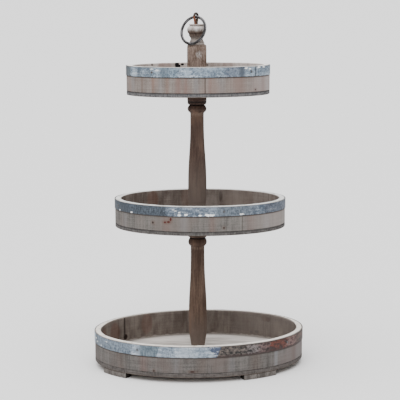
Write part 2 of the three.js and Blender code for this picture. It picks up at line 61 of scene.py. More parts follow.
class Wire:
    """A shader socket that takes part in sums like a number: each operator adds a Math node."""

    def __init__(self, graph, socket):
        self.graph = graph
        self.socket = socket

    def join(self, operation, other, swapped=False):
        """The wire and another value put through one operation, the other first if swapped."""
        pair = (other, self) if swapped else (self, other)
        return self.graph.node("ShaderNodeMath", {0: pair[0], 1: pair[1]}, operation=operation)

    def __add__(self, other):
        return self.join("ADD", other)

    def __radd__(self, other):
        return self.join("ADD", other, True)

    def __sub__(self, other):
        return self.join("SUBTRACT", other)

    def __rsub__(self, other):
        return self.join("SUBTRACT", other, True)

    def __mul__(self, other):
        return self.join("MULTIPLY", other)

    def __rmul__(self, other):
        return self.join("MULTIPLY", other, True)

    def ramp(self, low, high):
        """0 where the wire is at low, 1 where it is at high, and a smooth step between."""
        inputs = {"Value": self, "From Min": low, "From Max": high}
        return self.graph.node("ShaderNodeMapRange", inputs, interpolation_type="SMOOTHSTEP")

    def hump(self, middle, half, flat=0.0):
        """1 within flat of the middle, falling smoothly to 0 at half away on either side."""
        rise = self.ramp(middle - half, middle - flat)
        return rise * self.ramp(middle + half, middle + flat)

    def over(self, other):
        """The larger of two masks."""
        return self.join("MAXIMUM", other)


def tone(colour):
    """The linear colour that a shader takes: with s a share of 255, s / 12.92 up to 0.04045 and
    ((s + 0.055) / 1.055) ^ 2.4 above it."""
    shares = np.array(colour) / 255
    linear = np.where(shares <= 0.04045, shares / 12.92, ((shares + 0.055) / 1.055) ** 2.4)
    return linear.tolist()


class Graph:
    """The node tree of one new material, with its patterns in object coordinates."""

    def __init__(self, name):
        self.material = bpy.data.materials.new(name)
        self.material.use_nodes = True
        self.tree = self.material.node_tree
        self.shader = self.tree.nodes["Principled BSDF"]
        self.place = self.node("ShaderNodeTexCoord", {}, output="Object")

    def node(self, kind, inputs, output=0, **settings):
        """Adds any node, sets and links its inputs, and wraps one of its outputs."""
        made = self.tree.nodes.new(kind)
        for key, value in settings.items():
            setattr(made, key, value)
        for key, value in inputs.items():
            self.feed(made.inputs[key], value)
        return Wire(self, made.outputs[output])

    def feed(self, socket, value):
        """Links a wire to a socket, or sets the socket to a colour or a number."""
        if isinstance(value, Wire):
            self.tree.links.new(value.socket, socket)
        elif socket.type == "RGBA":
            socket.default_value = (*tone(value), 1.0)
        else:
            socket.default_value = value

    def attribute(self, name):
        """A value that the mesh holds for each of its points."""
        return self.node("ShaderNodeAttribute", {}, output="Fac", attribute_name=name)

    def axis(self, index):
        """The x, y or z of the place, as its index is 0, 1 or 2."""
        return self.node("ShaderNodeSeparateXYZ", {0: self.place}, output=index)

    def flat(self, across, up):
        """Two values as the x and y of a place, for a pattern that follows the surface."""
        return self.node("ShaderNodeCombineXYZ", {0: across, 1: up})

    def noise(self, scale, stretch=(1, 1, 1), detail=3.0, rough=0.55, seed=0.0, vector=None):
        """Noise with about scale spots a metre, drawn out by stretch along each axis."""
        spread = tuple(scale / s for s in stretch)
        shifted = {0: vector or self.place, 1: spread, 2: (seed, seed * 1.7, seed * 2.3)}
        moved = self.node("ShaderNodeVectorMath", shifted, operation="MULTIPLY_ADD")
        settings = {"Vector": moved, "Scale": 1.0, "Detail": detail, "Roughness": rough}
        return self.node("ShaderNodeTexNoise", settings)

    def near(self, point, radius, squash):
        """1 at a point, falling smoothly to 0 at radius; squash scales the way there by axis."""
        offset = self.node(
            "ShaderNodeVectorMath", {0: self.place, 1: tuple(point)}, operation="SUBTRACT")
        scaled = self.node("ShaderNodeVectorMath", {0: offset, 1: squash}, operation="MULTIPLY")
        length = self.node(
            "ShaderNodeVectorMath", {0: scaled}, output="Value", operation="LENGTH")
        return length.ramp(radius, 0.0)

    def mix(self, factor, low, high):
        """The colour low where the factor is 0 and high where it is 1."""
        return self.node("ShaderNodeMix", {0: factor, 6: low, 7: high}, output=2,
                         data_type="RGBA", clamp_factor=True)

    def mottle(self, pattern, spread, low, high):
        """Two colours mixed by a pattern, which changes over within spread of its middle 0.5."""
        return self.mix(pattern.ramp(0.5 - spread, 0.5 + spread), low, high)

    def finish(self, colour, rough, metal=0.0, height=None, relief=0.4 * MM, strength=0.6,
               gloss=0.5):
        """Links the colours, and the height as a bump of the given relief."""
        self.shader.inputs["Specular IOR Level"].default_value = gloss
        for key, value in (("Base Color", colour), ("Roughness", rough), ("Metallic", metal)):
            self.feed(self.shader.inputs[key], value)
        if height is not None:
            bump = {"Strength": strength, "Distance": relief, "Height": height}
            self.feed(self.shader.inputs["Normal"],
                      self.node("ShaderNodeBump", bump, output="Normal"))
        return self.material


# Meshes

def skin(rings, loop=False, poles=False, marks=None):
    """A closed skin over rings[i, j], points of a two-parameter grid whose j runs round.

    loop joins the last ring to the first. Open rings get flat caps, or with poles the first and
    the last ring are one point each. marks are further values, one for each point.
    """
    rows, count = rings.shape[:2]
    index = np.arange(rows * count).reshape(rows, count)
    if poles:
        index[0], index[-1] = index[0, 0], index[-1, 0]
    lower = index if loop else index[:-1]
    upper = np.roll(index, -1, axis=0) if loop else index[1:]
    quads = np.stack([lower, np.roll(lower, -1, 1), np.roll(upper, -1, 1), upper], -1)
    used = np.unique(index)
    quads = np.searchsorted(used, quads.reshape(-1, 4))
    faces = [tuple(dict.fromkeys(quad)) for quad in quads.tolist()]
    if not (loop or poles):
        faces += [tuple(index[0, ::-1].tolist()), tuple(index[-1].tolist())]
    kept = {key: values.ravel()[used] for key, values in (marks or {}).items()}
    return rings.reshape(-1, 3)[used], faces, kept


def piece(name, skins, material, node, body="stand"):
    """One object from one or more skins, in place of a CAD node. A skin whose enclosed volume
    comes out negative has its faces turned, so that all of them point outwards."""
    points, faces, start = [], [], 0
    marks = {key: [] for _, _, some in skins for key in some}
    for some_points, some_faces, some_marks in skins:
        spread = np.array([(face[0], face[k], face[k + 1]) for face in some_faces
                           for k in range(1, len(face) - 1)])
        a, b, c = (some_points[spread[:, k]] for k in range(3))
        outward = np.einsum("ij,ij->i", a, np.cross(b, c)).sum() > 0
        turned = [face if outward else face[::-1] for face in some_faces]
        faces += [tuple(start + i for i in face) for face in turned]
        points.append(some_points)
        start += len(some_points)
        for key, kept in marks.items():
            kept.append(some_marks.get(key, np.zeros(len(some_points))))
    mesh = bpy.data.meshes.new(name)
    mesh.from_pydata(np.concatenate(points).tolist(), [], faces)
    for key, values in marks.items():
        layer = mesh.attributes.new(key, "FLOAT", "POINT")
        layer.data.foreach_set("value", np.concatenate(values).astype(np.float32))
    mesh.polygons.foreach_set("use_smooth", [True] * len(mesh.polygons))
    mesh.set_sharp_from_angle(angle=SHARP_EDGE)
    mesh.materials.append(material)
    loose = bpy.data.objects.new(name, mesh)
    bpy.context.scene.collection.objects.link(loose)
    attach(loose, body)
    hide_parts(node)


def arc(centre, radius, start, end, steps):
    """Points on a circle's arc: centre + radius (cos u, sin u), u from start to end in degrees."""
    turns = np.radians(np.linspace(start, end, steps + 1))
    return [(centre[0] + radius * math.cos(u), centre[1] + radius * math.sin(u)) for u in turns]


def rounded(low, high, radii, steps=4):
    """The outline of a rectangle with its corners rounded by radii, anticlockwise from the
    lower right. Each corner is a quarter circle of its own radius."""
    points = []
    for i, radius in enumerate(radii):
        x = high[0] - radius if i in (0, 1) else low[0] + radius
        y = high[1] - radius if i in (1, 2) else low[1] + radius
        points += arc((x, y), radius, 90 * i - 90, 90 * i, steps)
    return np.array(points)


def curve(points, steps):
    """The curve that its points steer, the sum of C(n, k) u^k (1 - u)^(n - k) p_k, without its
    last point. Two points make a straight line, three a bend and four a swoop."""
    u = np.linspace(0, 1, steps, endpoint=False)[:, None]
    last = len(points) - 1
    return sum(math.comb(last, k) * u ** k * (1 - u) ** (last - k) * np.array(point, float)
               for k, point in enumerate(points))


def trace(start, legs):
    """Curves joined end to end. Each leg is its corner points, its end and its steps, and a leg
    of no steps only moves on."""
    parts = []
    for *corners, end, steps in legs:
        parts.append(curve((start, *corners, end), steps))
        start = end
    return np.concatenate([*parts, [start]])


def ripple(values, seed, longest):
    """A smooth wander: a sum of sines sin(2 pi f v / longest + p) / f with f = 1 to 9, over the
    sum of 1 / f."""
    waves = range(1, 10)
    phases = np.random.default_rng(seed).uniform(0, 2 * math.pi, len(waves))
    total = sum(np.sin(2 * math.pi * f * values / longest + phase) / f
                for f, phase in zip(waves, phases))
    return total / sum(1 / f for f in waves)


# The trays' ovals

WALL = 14 * MM
REBATE = 1.5 * MM
BAND_METAL = 0.9 * MM
BAND_STAND = 0.2 * MM
BAND_DROP = 0.8 * MM
LAP = 26 * MM
LAP_RISE = 14 * MM
LAP_GAP = 0.1 * MM
NAIL_GAP = 0.1 * MM


class Tray:
    """One oval tray, its sizes in millimetres and its angles in degrees. With half sizes a and b,
    its rim is (a cos t, b sin t), and a point inset from it goes inwards along the unit normal of
    (cos t / a, sin t / b). The oval is turned about its own middle, which lies offset to the
    right of the posts' line."""

    def __init__(self, name, length, depth, board, wall_height, band_width, offset, turn,
                 seams, lap_end, nails):
        self.name = name
        self.a, self.b = length * MM / 2, depth * MM / 2
        self.turn = math.radians(turn)
        self.middle = POST_LINE + offset * MM
        self.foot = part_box(f"{name}_floor")[0].z
        self.floor = self.foot + board * MM
        self.seat = self.floor - REBATE
        self.wall_foot = self.seat + GAP
        self.rim = self.wall_foot + wall_height * MM
        self.band_top = self.rim - BAND_DROP
        self.band_foot = self.band_top - band_width * MM
        self.band_middle = (self.band_foot + self.band_top) / 2
        self.seams = seams
        self.lap_end = lap_end
        self.nails = nails

    def normal(self, t):
        """x and y of the outward unit normal at angle t, before the oval is turned."""
        across, along = np.cos(t) / self.a, np.sin(t) / self.b
        size = np.hypot(across, along)
        return across / size, along / size

    def turned(self, x, y):
        """x and y of the flat oval, turned as the tray is."""
        cos, sin = math.cos(self.turn), math.sin(self.turn)
        return x * cos - y * sin, x * sin + y * cos

    def facing(self, t):
        """The level direction in which the rim faces at angle t."""
        return (*self.turned(*self.normal(t)), 0)

    def point(self, t, inset, z, share=1.0):
        """The point at angle t, with the flat oval drawn in to share of its size."""
        across, along = self.normal(t)
        x, y = self.turned(share * (self.a * np.cos(t) - inset * across),
                           share * (self.b * np.sin(t) - inset * along))
        return np.stack(np.broadcast_arrays(self.middle + x, y, z), -1)

    def spot(self, degrees, height, inset=0.0):
        """A single point of the rim's face, height above the tray's underside."""
        return tuple(self.point(math.radians(degrees), inset, self.foot + height).tolist())

    def angle(self, t, length):
        """The angle that a length along the rim takes up at t."""
        return length / math.hypot(self.a * math.sin(t), self.b * math.cos(t))

    def way_round(self, t):
        """Length along the rim from the middle of the front to each angle."""
        fine = np.radians(np.arange(-540, 541, 0.5))
        speed = np.hypot(self.a * np.sin(fine), self.b * np.cos(fine))
        run = np.concatenate([[0], np.cumsum((speed[1:] + speed[:-1]) / 2 * np.diff(fine))])
        run -= np.interp(math.radians(-90), fine, run)
        return np.interp(t, fine, run)


TRAYS = [
    Tray("bottom", length=478, depth=335, board=11.5, wall_height=60, band_width=24.5,
         offset=2.4, turn=5, seams=(-54, 38, 144, 224), lap_end=78, nails=(142, 232, 322)),
    Tray("middle", length=385, depth=269, board=10.5, wall_height=55.5, band_width=21.5,
         offset=5.9, turn=-0.6, seams=(-61, 29, 119, 209), lap_end=110, nails=(18, 200, 286)),
    Tray("top", length=320, depth=224, board=10.5, wall_height=56, band_width=21.5,
         offset=3, turn=4.7, seams=(-88, 2, 84, 178), lap_end=-42, nails=(40, 135, 228)),
]
BOTTOM = TRAYS[0]


def wall_skin(tray, start, end):
    """A wall segment: a rounded section swept round the oval from one seam to the next. The rim
    dips and swells by a few tenths of a millimetre, as worn wood does."""
    foot_round, inner_round, outer_round = 0.6 * MM, 2.4 * MM, 2.0 * MM
    step, dip, longest_dip = math.radians(1.5), 0.35 * MM, 0.21
    half_gap = tray.angle(start, GAP / 2), tray.angle(end, GAP / 2)
    turns = np.linspace(start + half_gap[0], end - half_gap[1],
                        int(round((end - start) / step)) + 1)
    outline = rounded((0, tray.wall_foot), (WALL, tray.rim),
                      (foot_round, inner_round, outer_round, foot_round))
    inset, z = outline[:, 0], outline[:, 1]
    high = (z - tray.wall_foot) / (tray.rim - tray.wall_foot)
    run = tray.way_round(turns)[:, None]
    worn = dip * (ripple(run, seed=3, longest=longest_dip) - 1) * high ** 4
    rings = tray.point(turns[:, None], inset, z + worn)
    edge = np.minimum(run - run[0], run[-1] - run)
    marks = {"edge": np.broadcast_to(edge, rings.shape[:2]),
             "depth": np.broadcast_to(inset / WALL, rings.shape[:2])}
    return skin(rings, marks=marks)


def board_skin(tray):
    """A tray's board: the oval grown from its middle, round its edge and back underneath. The
    mark reach is how far a point lies inside the board's outline."""
    t = np.linspace(0, 2 * math.pi, 160, endpoint=False)
    edge = 1.6 * MM
    field = WALL + 0.5 * MM
    rows = [(share, field, tray.floor) for share in (0, 0.3, 0.6, 0.85, 1)]
    rows += [(1, field, tray.seat), (1, edge, tray.seat)]
    rows += [(1, edge - edge * math.sin(u), tray.seat - edge + edge * math.cos(u))
             for u in np.radians((22, 45, 67, 90))]
    rows += [(1, edge - edge * math.cos(u), tray.foot + edge - edge * math.sin(u))
             for u in np.radians((0, 22, 45, 67, 90))]
    rows += [(share, edge, tray.foot) for share in (0.85, 0.6, 0.3, 0)]
    rings = np.stack([tray.point(t, inset, z, share) for share, inset, z in rows])
    outline = tray.point(t, 0, tray.foot)

    def from_middle(points):
        return np.linalg.norm(points[..., :2] - (tray.middle, 0), axis=-1)

    return skin(rings, poles=True, marks={"reach": from_middle(outline) - from_middle(rings)})


def band_skin(tray):
    """A band: a strip with rolled edges that runs once round, rises by its own thickness before
    its lap and ends over its own start. Its edges wander by a few tenths of a millimetre."""
    rolled, stray, longest_stray = 0.4 * MM, 0.25 * MM, 0.37
    end = math.radians(tray.lap_end)
    lap, rise = tray.angle(end, LAP), tray.angle(end, LAP_RISE)
    turns = np.concatenate([
        np.linspace(end - lap - 2 * math.pi, end - lap - rise, 300, endpoint=False),
        np.linspace(end - lap - rise, end - lap, 8, endpoint=False),
        np.linspace(end - lap, end, 14)])
    risen = np.clip((turns - end + lap + rise) / rise, 0, 1)
    risen = risen ** 2 * (3 - 2 * risen)
    width = tray.band_top - tray.band_foot
    outline = rounded((0, 0), (BAND_METAL, width), [rolled] * 4, 3)
    run = tray.way_round(turns)[:, None]
    wander = stray * ripple(run, seed=11, longest=longest_stray) * (1 - outline[:, 1] / width)
    stand = BAND_STAND + risen[:, None] * (BAND_METAL + LAP_GAP)
    rings = tray.point(turns[:, None], -stand - outline[:, 0],
                       tray.band_foot + outline[:, 1] + wander)
    return skin(rings, marks={"run": np.broadcast_to(run, rings.shape[:2])})


def foot_skin(middle_degrees, length):
    """A foot: a curved block under the bottom tray's wall, its edges rounded by wear and its ends
    tucked in, both ways alike, over their last 1.6 mm."""
    outer_face, inner_face, edge_round = 0.2 * MM, 21.8 * MM, 0.9 * MM
    worn_end, tucked, half_width, half_height = 1.6 * MM, 0.7 * MM, 11 * MM, 6 * MM
    middle = math.radians(middle_degrees)
    ends = np.array((0, 0.5, 1.6)) * MM
    body = np.linspace(3.5 * MM, length - 3.5 * MM, 24)
    along = np.concatenate([ends, body, length - ends[::-1]]) - length / 2
    turns = middle + BOTTOM.angle(middle, 1) * along
    outline = rounded((outer_face, 0), (inner_face, BOTTOM.foot - GAP), [edge_round] * 4, 3)
    from_end = length / 2 - np.abs(along)[:, None]
    tuck = np.clip(1 - from_end / worn_end, 0, 1) ** 2 * tucked
    centre = outline.mean(0)
    inset = centre[0] + (outline[:, 0] - centre[0]) * (1 - tuck / half_width)
    z = centre[1] + (outline[:, 1] - centre[1]) * (1 - tuck / half_height)
    rings = BOTTOM.point(turns[:, None], inset, z)
    return skin(rings, marks={"from_end": np.broadcast_to(from_end, rings.shape[:2])})


# Turned work and hardware

# The outlines are in millimetres. SIDE is half the square stock, SHOULDER the height of its
# rounded shoulder, PAST a radius beyond its corners, CUT and CUT_HEIGHT the small chamfer that
# takes the corners off at its ends, and HAIR a distance too small to show.
SIDE, SHOULDER, PAST = 21.5, 6.5, 32.4
CUT, CUT_HEIGHT, HAIR = 2.3, 0.8, 0.1
POSTS = {
    "lower": dict(length=296.5, stub=20.8, groove=16.8, bead=21.3, bead_height=19, cove=4,
                  neck=15.6, swell_height=168),
    "upper": dict(length=287.5, stub=17, groove=16.2, bead=21.4, bead_height=17.4, cove=5,
                  neck=15.1, swell_height=162),
}


def square_reach(turns):
    """How far a square with rounded arrises reaches at each angle: half / cos u on its flats, and
    the arris circle's far crossing in its corners."""
    half, arris = SIDE * MM, 2.2 * MM
    u = np.abs((turns + math.pi / 4) % (math.pi / 2) - math.pi / 4)
    flat = half - arris
    across = flat * (np.cos(u) + np.sin(u))
    corner = across + np.sqrt(np.maximum(arris ** 2 - 2 * flat ** 2 + across ** 2, 0))
    return np.where(half * np.tan(u) <= flat, half / np.cos(u), corner)


def turned_skin(outline, foot, count=96, squared=True, centre=(POST_LINE, 0)):
    """Turned work: the outline's radius at each height, held within the square stock by the soft
    minimum -k log(exp(-r / k) + exp(-s / k)), which wears the edges where the two meet."""
    turns = np.linspace(0, 2 * math.pi, count, endpoint=False)
    radius = outline[:, :1] * np.ones(count)
    if squared:
        soft = 0.25 * MM
        reach = square_reach(turns)
        nearer = np.minimum(radius, reach)
        radius = nearer - soft * np.log1p(np.exp(-np.abs(radius - reach) / soft))
    x = centre[0] + radius * np.cos(turns)
    y = centre[1] + radius * np.sin(turns)
    z = foot + outline[:, 1:] * np.ones(count)
    return skin(np.stack([x, y, z], -1))


def post_outline(length, stub, groove, bead, bead_height, cove, neck, swell_height):
    """A post from its round foot to its square stub, from the same lines and curves as the
    solid."""
    swell, foot, foot_round, taper_height, neck_height = 20.9, 13.2, 0.8, 46, 8
    cove_flare, head_share, bow_share = 1.2, 0.75, 0.35
    stub_foot = length - stub
    stub_shoulder = stub_foot + SHOULDER
    groove_z = stub_foot - SHOULDER
    bead_foot = groove_z - bead_height
    half = bead_height / 2
    neck_top = bead_foot - cove
    neck_foot = neck_top - neck_height
    swell_foot = neck_foot - swell_height
    knee = foot + (swell - foot) / (taper_height + cove) * taper_height
    middle = (swell_foot + neck_foot) / 2
    cove_r = neck + cove_flare
    head_r = groove + (bead - groove) * head_share
    return MM * trace((foot - foot_round, 0), [
        ((foot, 0), (foot, foot_round), 3),
        ((foot + (knee - foot) / 2, taper_height / 2), (knee, taper_height), 12),
        ((swell, taper_height + cove), (swell, swell_foot), 16),
        ((swell, middle), (neck, middle), (neck, neck_foot), 28),
        ((neck, neck_foot + neck_height / 2), (neck, neck_top), 3),
        ((neck, bead_foot - cove * bow_share), (cove_r, bead_foot), 6),
        ((bead, bead_foot + half * bow_share), (bead, bead_foot + half), 10),
        ((head_r, groove_z - half * bow_share), (groove, groove_z), 10),
        ((SIDE, groove_z), (SIDE, stub_foot), 10),
        ((SIDE, stub_shoulder), (PAST, stub_shoulder), 10),
        ((PAST, stub_shoulder + HAIR), 0),
        ((PAST, length - CUT_HEIGHT), 1),
        ((PAST - CUT, length), 1),
    ])


def hollow(narrow, narrow_z, wide, wide_z):
    """The corner of a hollow, by its shares of the way out and along to the wide end."""
    out_share, along_share = 0.35, 0.45
    return narrow + (wide - narrow) * out_share, narrow_z + (wide_z - narrow_z) * along_share


def finial_outline():
    """The finial from the foot of its block to its cap."""
    block, flare, flare_h, neck, rise = 96, 17.2, 3.2, 12.9, 9.5
    ledge, ledge_rise, ledge_h, knob, knob_rise, dome, bow = 17.1, 6, 4.5, 21.1, 9.4, 8.1, 2.4
    groove, groove_h, cap, cap_h, cap_round, bore = 15.7, 1.3, 16.9, 2.6, 1.4, 4.6
    flare_hollow, ledge_bow, groove_hollow = 0.2, 0.5, 0.3
    top = block + SHOULDER / 2
    flare_top = top + flare_h
    neck_z = flare_top + rise
    ledge_z = neck_z + ledge_rise
    ledge_top = ledge_z + ledge_h
    knob_z = ledge_top + knob_rise
    knob_top = knob_z + dome
    cap_z = knob_top + groove_h
    cap_top = cap_z + cap_h
    return MM * trace((PAST - CUT, 0), [
        ((PAST, CUT_HEIGHT), 1),
        ((PAST, block - SHOULDER - HAIR), 1),
        ((PAST, block - SHOULDER), 1),
        ((SIDE, block - SHOULDER / 2), (SIDE, block - SHOULDER / 4), 8),
        ((SIDE, top), (flare, top), 8),
        ((flare - flare_hollow, top + flare_h / 2), (flare, flare_top), 4),
        (hollow(neck, neck_z, flare, flare_top), (neck, neck_z), 12),
        (hollow(neck, neck_z, ledge, ledge_z), (ledge, ledge_z), 12),
        ((ledge + ledge_bow, ledge_z + ledge_h / 2), (ledge, ledge_top), 6),
        ((knob, ledge_top + bow), (knob, knob_z), 12),
        ((knob, knob_top - bow), (groove, knob_top), 14),
        ((groove - groove_hollow, knob_top + groove_h / 2), (groove, cap_z), 4),
        ((cap, cap_z), (cap, cap_z + cap_h / 2), 5),
        ((cap, cap_top), (cap - cap_round, cap_top), 5),
        ((bore, cap_top + HAIR / 2), 1),
    ])


def tube_skin(path, radius, closed=False, count=14):
    """A round wire along path[i]: each ring lies square to the path, turned by the least twist
    from the ring before it. The mark out is 1 on the side that faces away from the middle of the
    bend and -1 inside it, and way is the share of the path so far."""
    ahead = np.roll(path, -1, 0) - np.roll(path, 1, 0) if closed else np.gradient(path, axis=0)
    ahead /= np.linalg.norm(ahead, axis=1, keepdims=True)
    off_path = (0.3, 0.2, 0.9)
    side = np.cross(ahead[0], off_path)
    middle = path.mean(0)
    rings, out = [], []
    u = np.linspace(0, 2 * math.pi, count, endpoint=False)
    for point, way in zip(path, ahead):
        side = side - way * (side @ way)
        side /= np.linalg.norm(side)
        around = np.outer(np.cos(u), side) + np.outer(np.sin(u), np.cross(way, side))
        away = point - middle
        rings.append(point + radius * around)
        out.append(around @ (away / np.linalg.norm(away)))
    way = np.broadcast_to(np.linspace(0, 1, len(path))[:, None], (len(path), count))
    return skin(np.array(rings), loop=closed, marks={"out": np.array(out), "way": way})


def nail_skin(point, way):
    """A nail's low dome z = height sqrt(1 - (r / radius)^2) on its shank, facing along way."""
    radius, height, shank, length = 2.7 * MM, 1.1 * MM, 1 * MM, 1.2 * MM
    way = np.array(way, float)
    across = np.cross(way, (0, 0, 1.0))
    across /= np.linalg.norm(across)
    other = np.cross(way, across)
    u = np.linspace(0, 2 * math.pi, 16, endpoint=False)
    around = np.outer(np.cos(u), across) + np.outer(np.sin(u), other)
    rows = [(radius * math.sin(v), height * math.cos(v)) for v in np.radians((0, 25, 50, 72, 90))]
    rows += [(radius * 0.94, -0.08 * MM), (shank, -0.1 * MM), (shank * 0.9, -length), (0, -length)]
    return skin(np.array([point + h * way + r * around for r, h in rows]), poles=True)


def screw_skin(place, radius, head, shank, length):
    """A countersunk screw seen from below. Its face has a cross recess of half width w, out to
    0.62 of the head's radius: a point lies at its bottom where |x| or |y| is under 0.9 w, and on
    its sloping sides up to 1.4 w."""
    x, y, z = place
    recess, chamfer, tip, tip_radius = 1.3 * MM, 0.1 * MM, 4 * MM, 0.3 * MM
    u = np.linspace(0, 2 * math.pi, 48, endpoint=False)
    w = 0.16 * radius
    rings = []
    for share in (0.02, 0.2, 0.4, 0.55, 0.62, 0.7, 0.92, 1.0):
        px, py = share * radius * np.cos(u), share * radius * np.sin(u)
        cut = np.clip((w * 1.4 - np.minimum(np.abs(px), np.abs(py))) / (w * 0.5), 0, 1)
        sunk = cut * recess * (share < 0.66)
        rings.append(np.stack([x + px, y + py, z + sunk + chamfer * (share == 1)], -1))
    for r, h in ((radius, 0.4 * MM), (shank, head), (shank, length - tip), (tip_radius, length)):
        rings.append(np.stack([x + r * np.cos(u), y + r * np.sin(u), np.full(48, z + h)], -1))
    return skin(np.array(rings))


# Finishes

def wall_wood(tray, dark, light, warm, inside, rim, wear, edge_line, seam, streaks, knots,
              inner_marks):
    """Weathered staves: a linen-like weave of fine upright grain and level saw marks under thin
    whitewash, broad soft patches, painted shadow under the band, painted shade along the outside
    of the wall's foot and dirt in the seams, a darker inside and a pale rim. seam is the strength
    of the painted shade at the foot and of the seam dirt. At the back the rim's paint is worn off
    its inner edge, to the share of its width that wear gives, and edge_line is the strength of the
    dirty line along its outer edge."""
    g = Graph(f"{tray.name}_wall_wood")
    height, depth, edge = g.axis(2), g.attribute("depth"), g.attribute("edge")
    fibres = g.noise(330, (1, 1, 26), 2, 0.6, seed=1.3)
    threads = g.noise(330, (26, 26, 1), 2, 0.6, seed=9.1)
    broad = g.noise(70, (1, 1, 3), 3, seed=4.1)
    patches = g.noise(20, (1, 1, 1.6), 2, seed=7.7)
    speck = g.noise(700, (1, 1, 1.5), 2, 0.7, seed=5.9)
    weave = fibres * 0.32 + threads * 0.26 + speck * 0.42
    grain = weave * 0.8 + broad * 0.2
    outer = g.mottle(grain, 0.14, dark, light)
    outer = g.mix(patches.ramp(0.42, 0.66) * 0.6, outer, warm)
    half_way_up = 26 * MM
    for degrees, width, colour, strength in streaks:
        streak = g.near(tray.spot(degrees, half_way_up), width * MM, (1, 1, 0.04))
        outer = g.mix(streak * (weave + 0.45) * strength, outer, colour)
    for degrees, high, size, flat, knot in knots:
        spot = tray.spot(degrees, high * MM)
        halo = g.near(spot, 2.6 * size * MM, (1, 1, flat)) * 0.4
        outer = g.mix(halo, outer, (86, 60, 50))
        heart = g.near(spot, size * MM, (1, 1, flat)) + (speck - 0.5) * 0.6
        outer = g.mix(heart.ramp(0.12, 0.5) * 0.9, outer, knot)
    inner = g.mottle(weave * 0.4 + broad * 0.25 + patches * 0.35, 0.14, *inside)
    for degrees, high, size, flat, colour, strength in inner_marks:
        spot = tray.spot(degrees, high * MM, WALL)
        ragged = g.near(spot, size * MM, (1, 1, flat)) + (speck - 0.5) * 0.5
        inner = g.mix(ragged.ramp(0.25, 0.55) * strength, inner, colour)
    ragged_height = height + (broad - 0.5) * (9 * MM)
    splash = ragged_height.ramp(tray.floor + 4.5 * MM, tray.floor + 1.5 * MM)
    inner = g.mix(splash * (0.35 + weave), inner, (176, 168, 162))
    colour = g.mix(depth.ramp(0.45, 0.8), outer, inner)
    # Painted shadow under the band and painted shade along the outside of the wall's foot, with
    # dirt along the seams' edges.
    under = height.ramp(tray.band_foot - 3.0 * MM, tray.band_foot - 0.8 * MM)
    foot = height.ramp(tray.wall_foot + 1.8 * MM, tray.wall_foot + 0.2 * MM)
    outside = depth.ramp(0.3, 0.05)
    shade_and_seam_dirt = (under * outside * 0.8).over(foot * outside * broad * 0.5 * seam)
    shade_and_seam_dirt = shade_and_seam_dirt.over(edge.ramp(1.3 * MM, 0.4 * MM) * seam)
    colour = g.mix(shade_and_seam_dirt, colour, (54, 44, 38))
    worn = height + (weave - 0.5) * (2.5 * MM)
    back = g.axis(1).ramp(tray.b * 0.1, tray.b * 0.6) * wear
    inwards = (depth + back + (broad - 0.5) * 0.2).ramp(0.98, 0.88)
    lip = worn.ramp(tray.rim - 1.9 * MM, tray.rim - 0.9 * MM)
    colour = g.mix(lip * inwards, colour, g.mix(broad.ramp(0.3, 0.5), *rim))
    outer_edge = (depth + (weave - 0.5) * 0.15).ramp(0.2, 0.1)
    colour = g.mix(lip * outer_edge * (broad * 0.8 + 0.3) * edge_line, colour, (62, 50, 44))
    return g.finish(colour, 0.8 + fibres * 0.15, height=grain, strength=0.5, gloss=MATT)


def board_wood(tray, pale, worn, side, junction_shade_strength):
    """A whitewashed board: grain along the tray, darker in the corner under the wall, an edge with
    a broken line of painted shade along its top, just under the wall, and a bare underside."""
    g = Graph(f"{tray.name}_board_wood")
    height, reach = g.axis(2), g.attribute("reach")
    fibres = g.noise(420, (22, 1, 1), 2, seed=3.1)
    lines = g.noise(240, (14, 1, 1), 3, seed=5.2)
    patches = g.noise(13, (2.5, 1, 1), 3, seed=6.4)
    grain = fibres * 0.35 + lines * 0.65
    top = g.mix((grain * 0.5 + patches * 0.5).ramp(0.34, 0.6), worn, pale)
    top = g.mix(patches.ramp(0.55, 0.72) * 0.25, top, (196, 176, 164))
    corner = reach.ramp(WALL + 9 * MM, WALL + 1 * MM)
    top = g.mix(corner * (0.25 + lines * 0.4), top, (92, 84, 78))
    layers = g.noise(60, (1, 1, 0.06), 3, 0.6, seed=8.8)
    weave = g.noise(330, (1, 1, 3), 2, 0.6, seed=2.2)
    rim = g.mottle(layers * 0.6 + weave * 0.4, 0.12, *side)
    bare = g.mottle(grain, 0.14, (84, 70, 60), (126, 112, 100))
    colour = g.mix(height.ramp(tray.foot + 0.5 * MM, tray.foot + 1.3 * MM), bare, rim)
    colour = g.mix(height.ramp(tray.floor - 1.2 * MM, tray.floor - 0.3 * MM), colour, top)
    outside = reach.ramp(3 * MM, 1 * MM)
    broken = g.noise(90, (1, 1, 1), 3, 0.7, seed=13.3).ramp(0.34, 0.5)
    # Painted shade: a broken dark line along the edge just under the wall's foot, where the wall
    # meets the board.
    line = height.ramp(tray.seat - 3.4 * MM, tray.seat - 2 * MM) * outside
    colour = g.mix(line * (broken * 0.6 + 0.4) * junction_shade_strength, colour, (44, 40, 40))
    return g.finish(colour, 0.76 + fibres * 0.2, height=grain, relief=0.3 * MM, gloss=MATT)


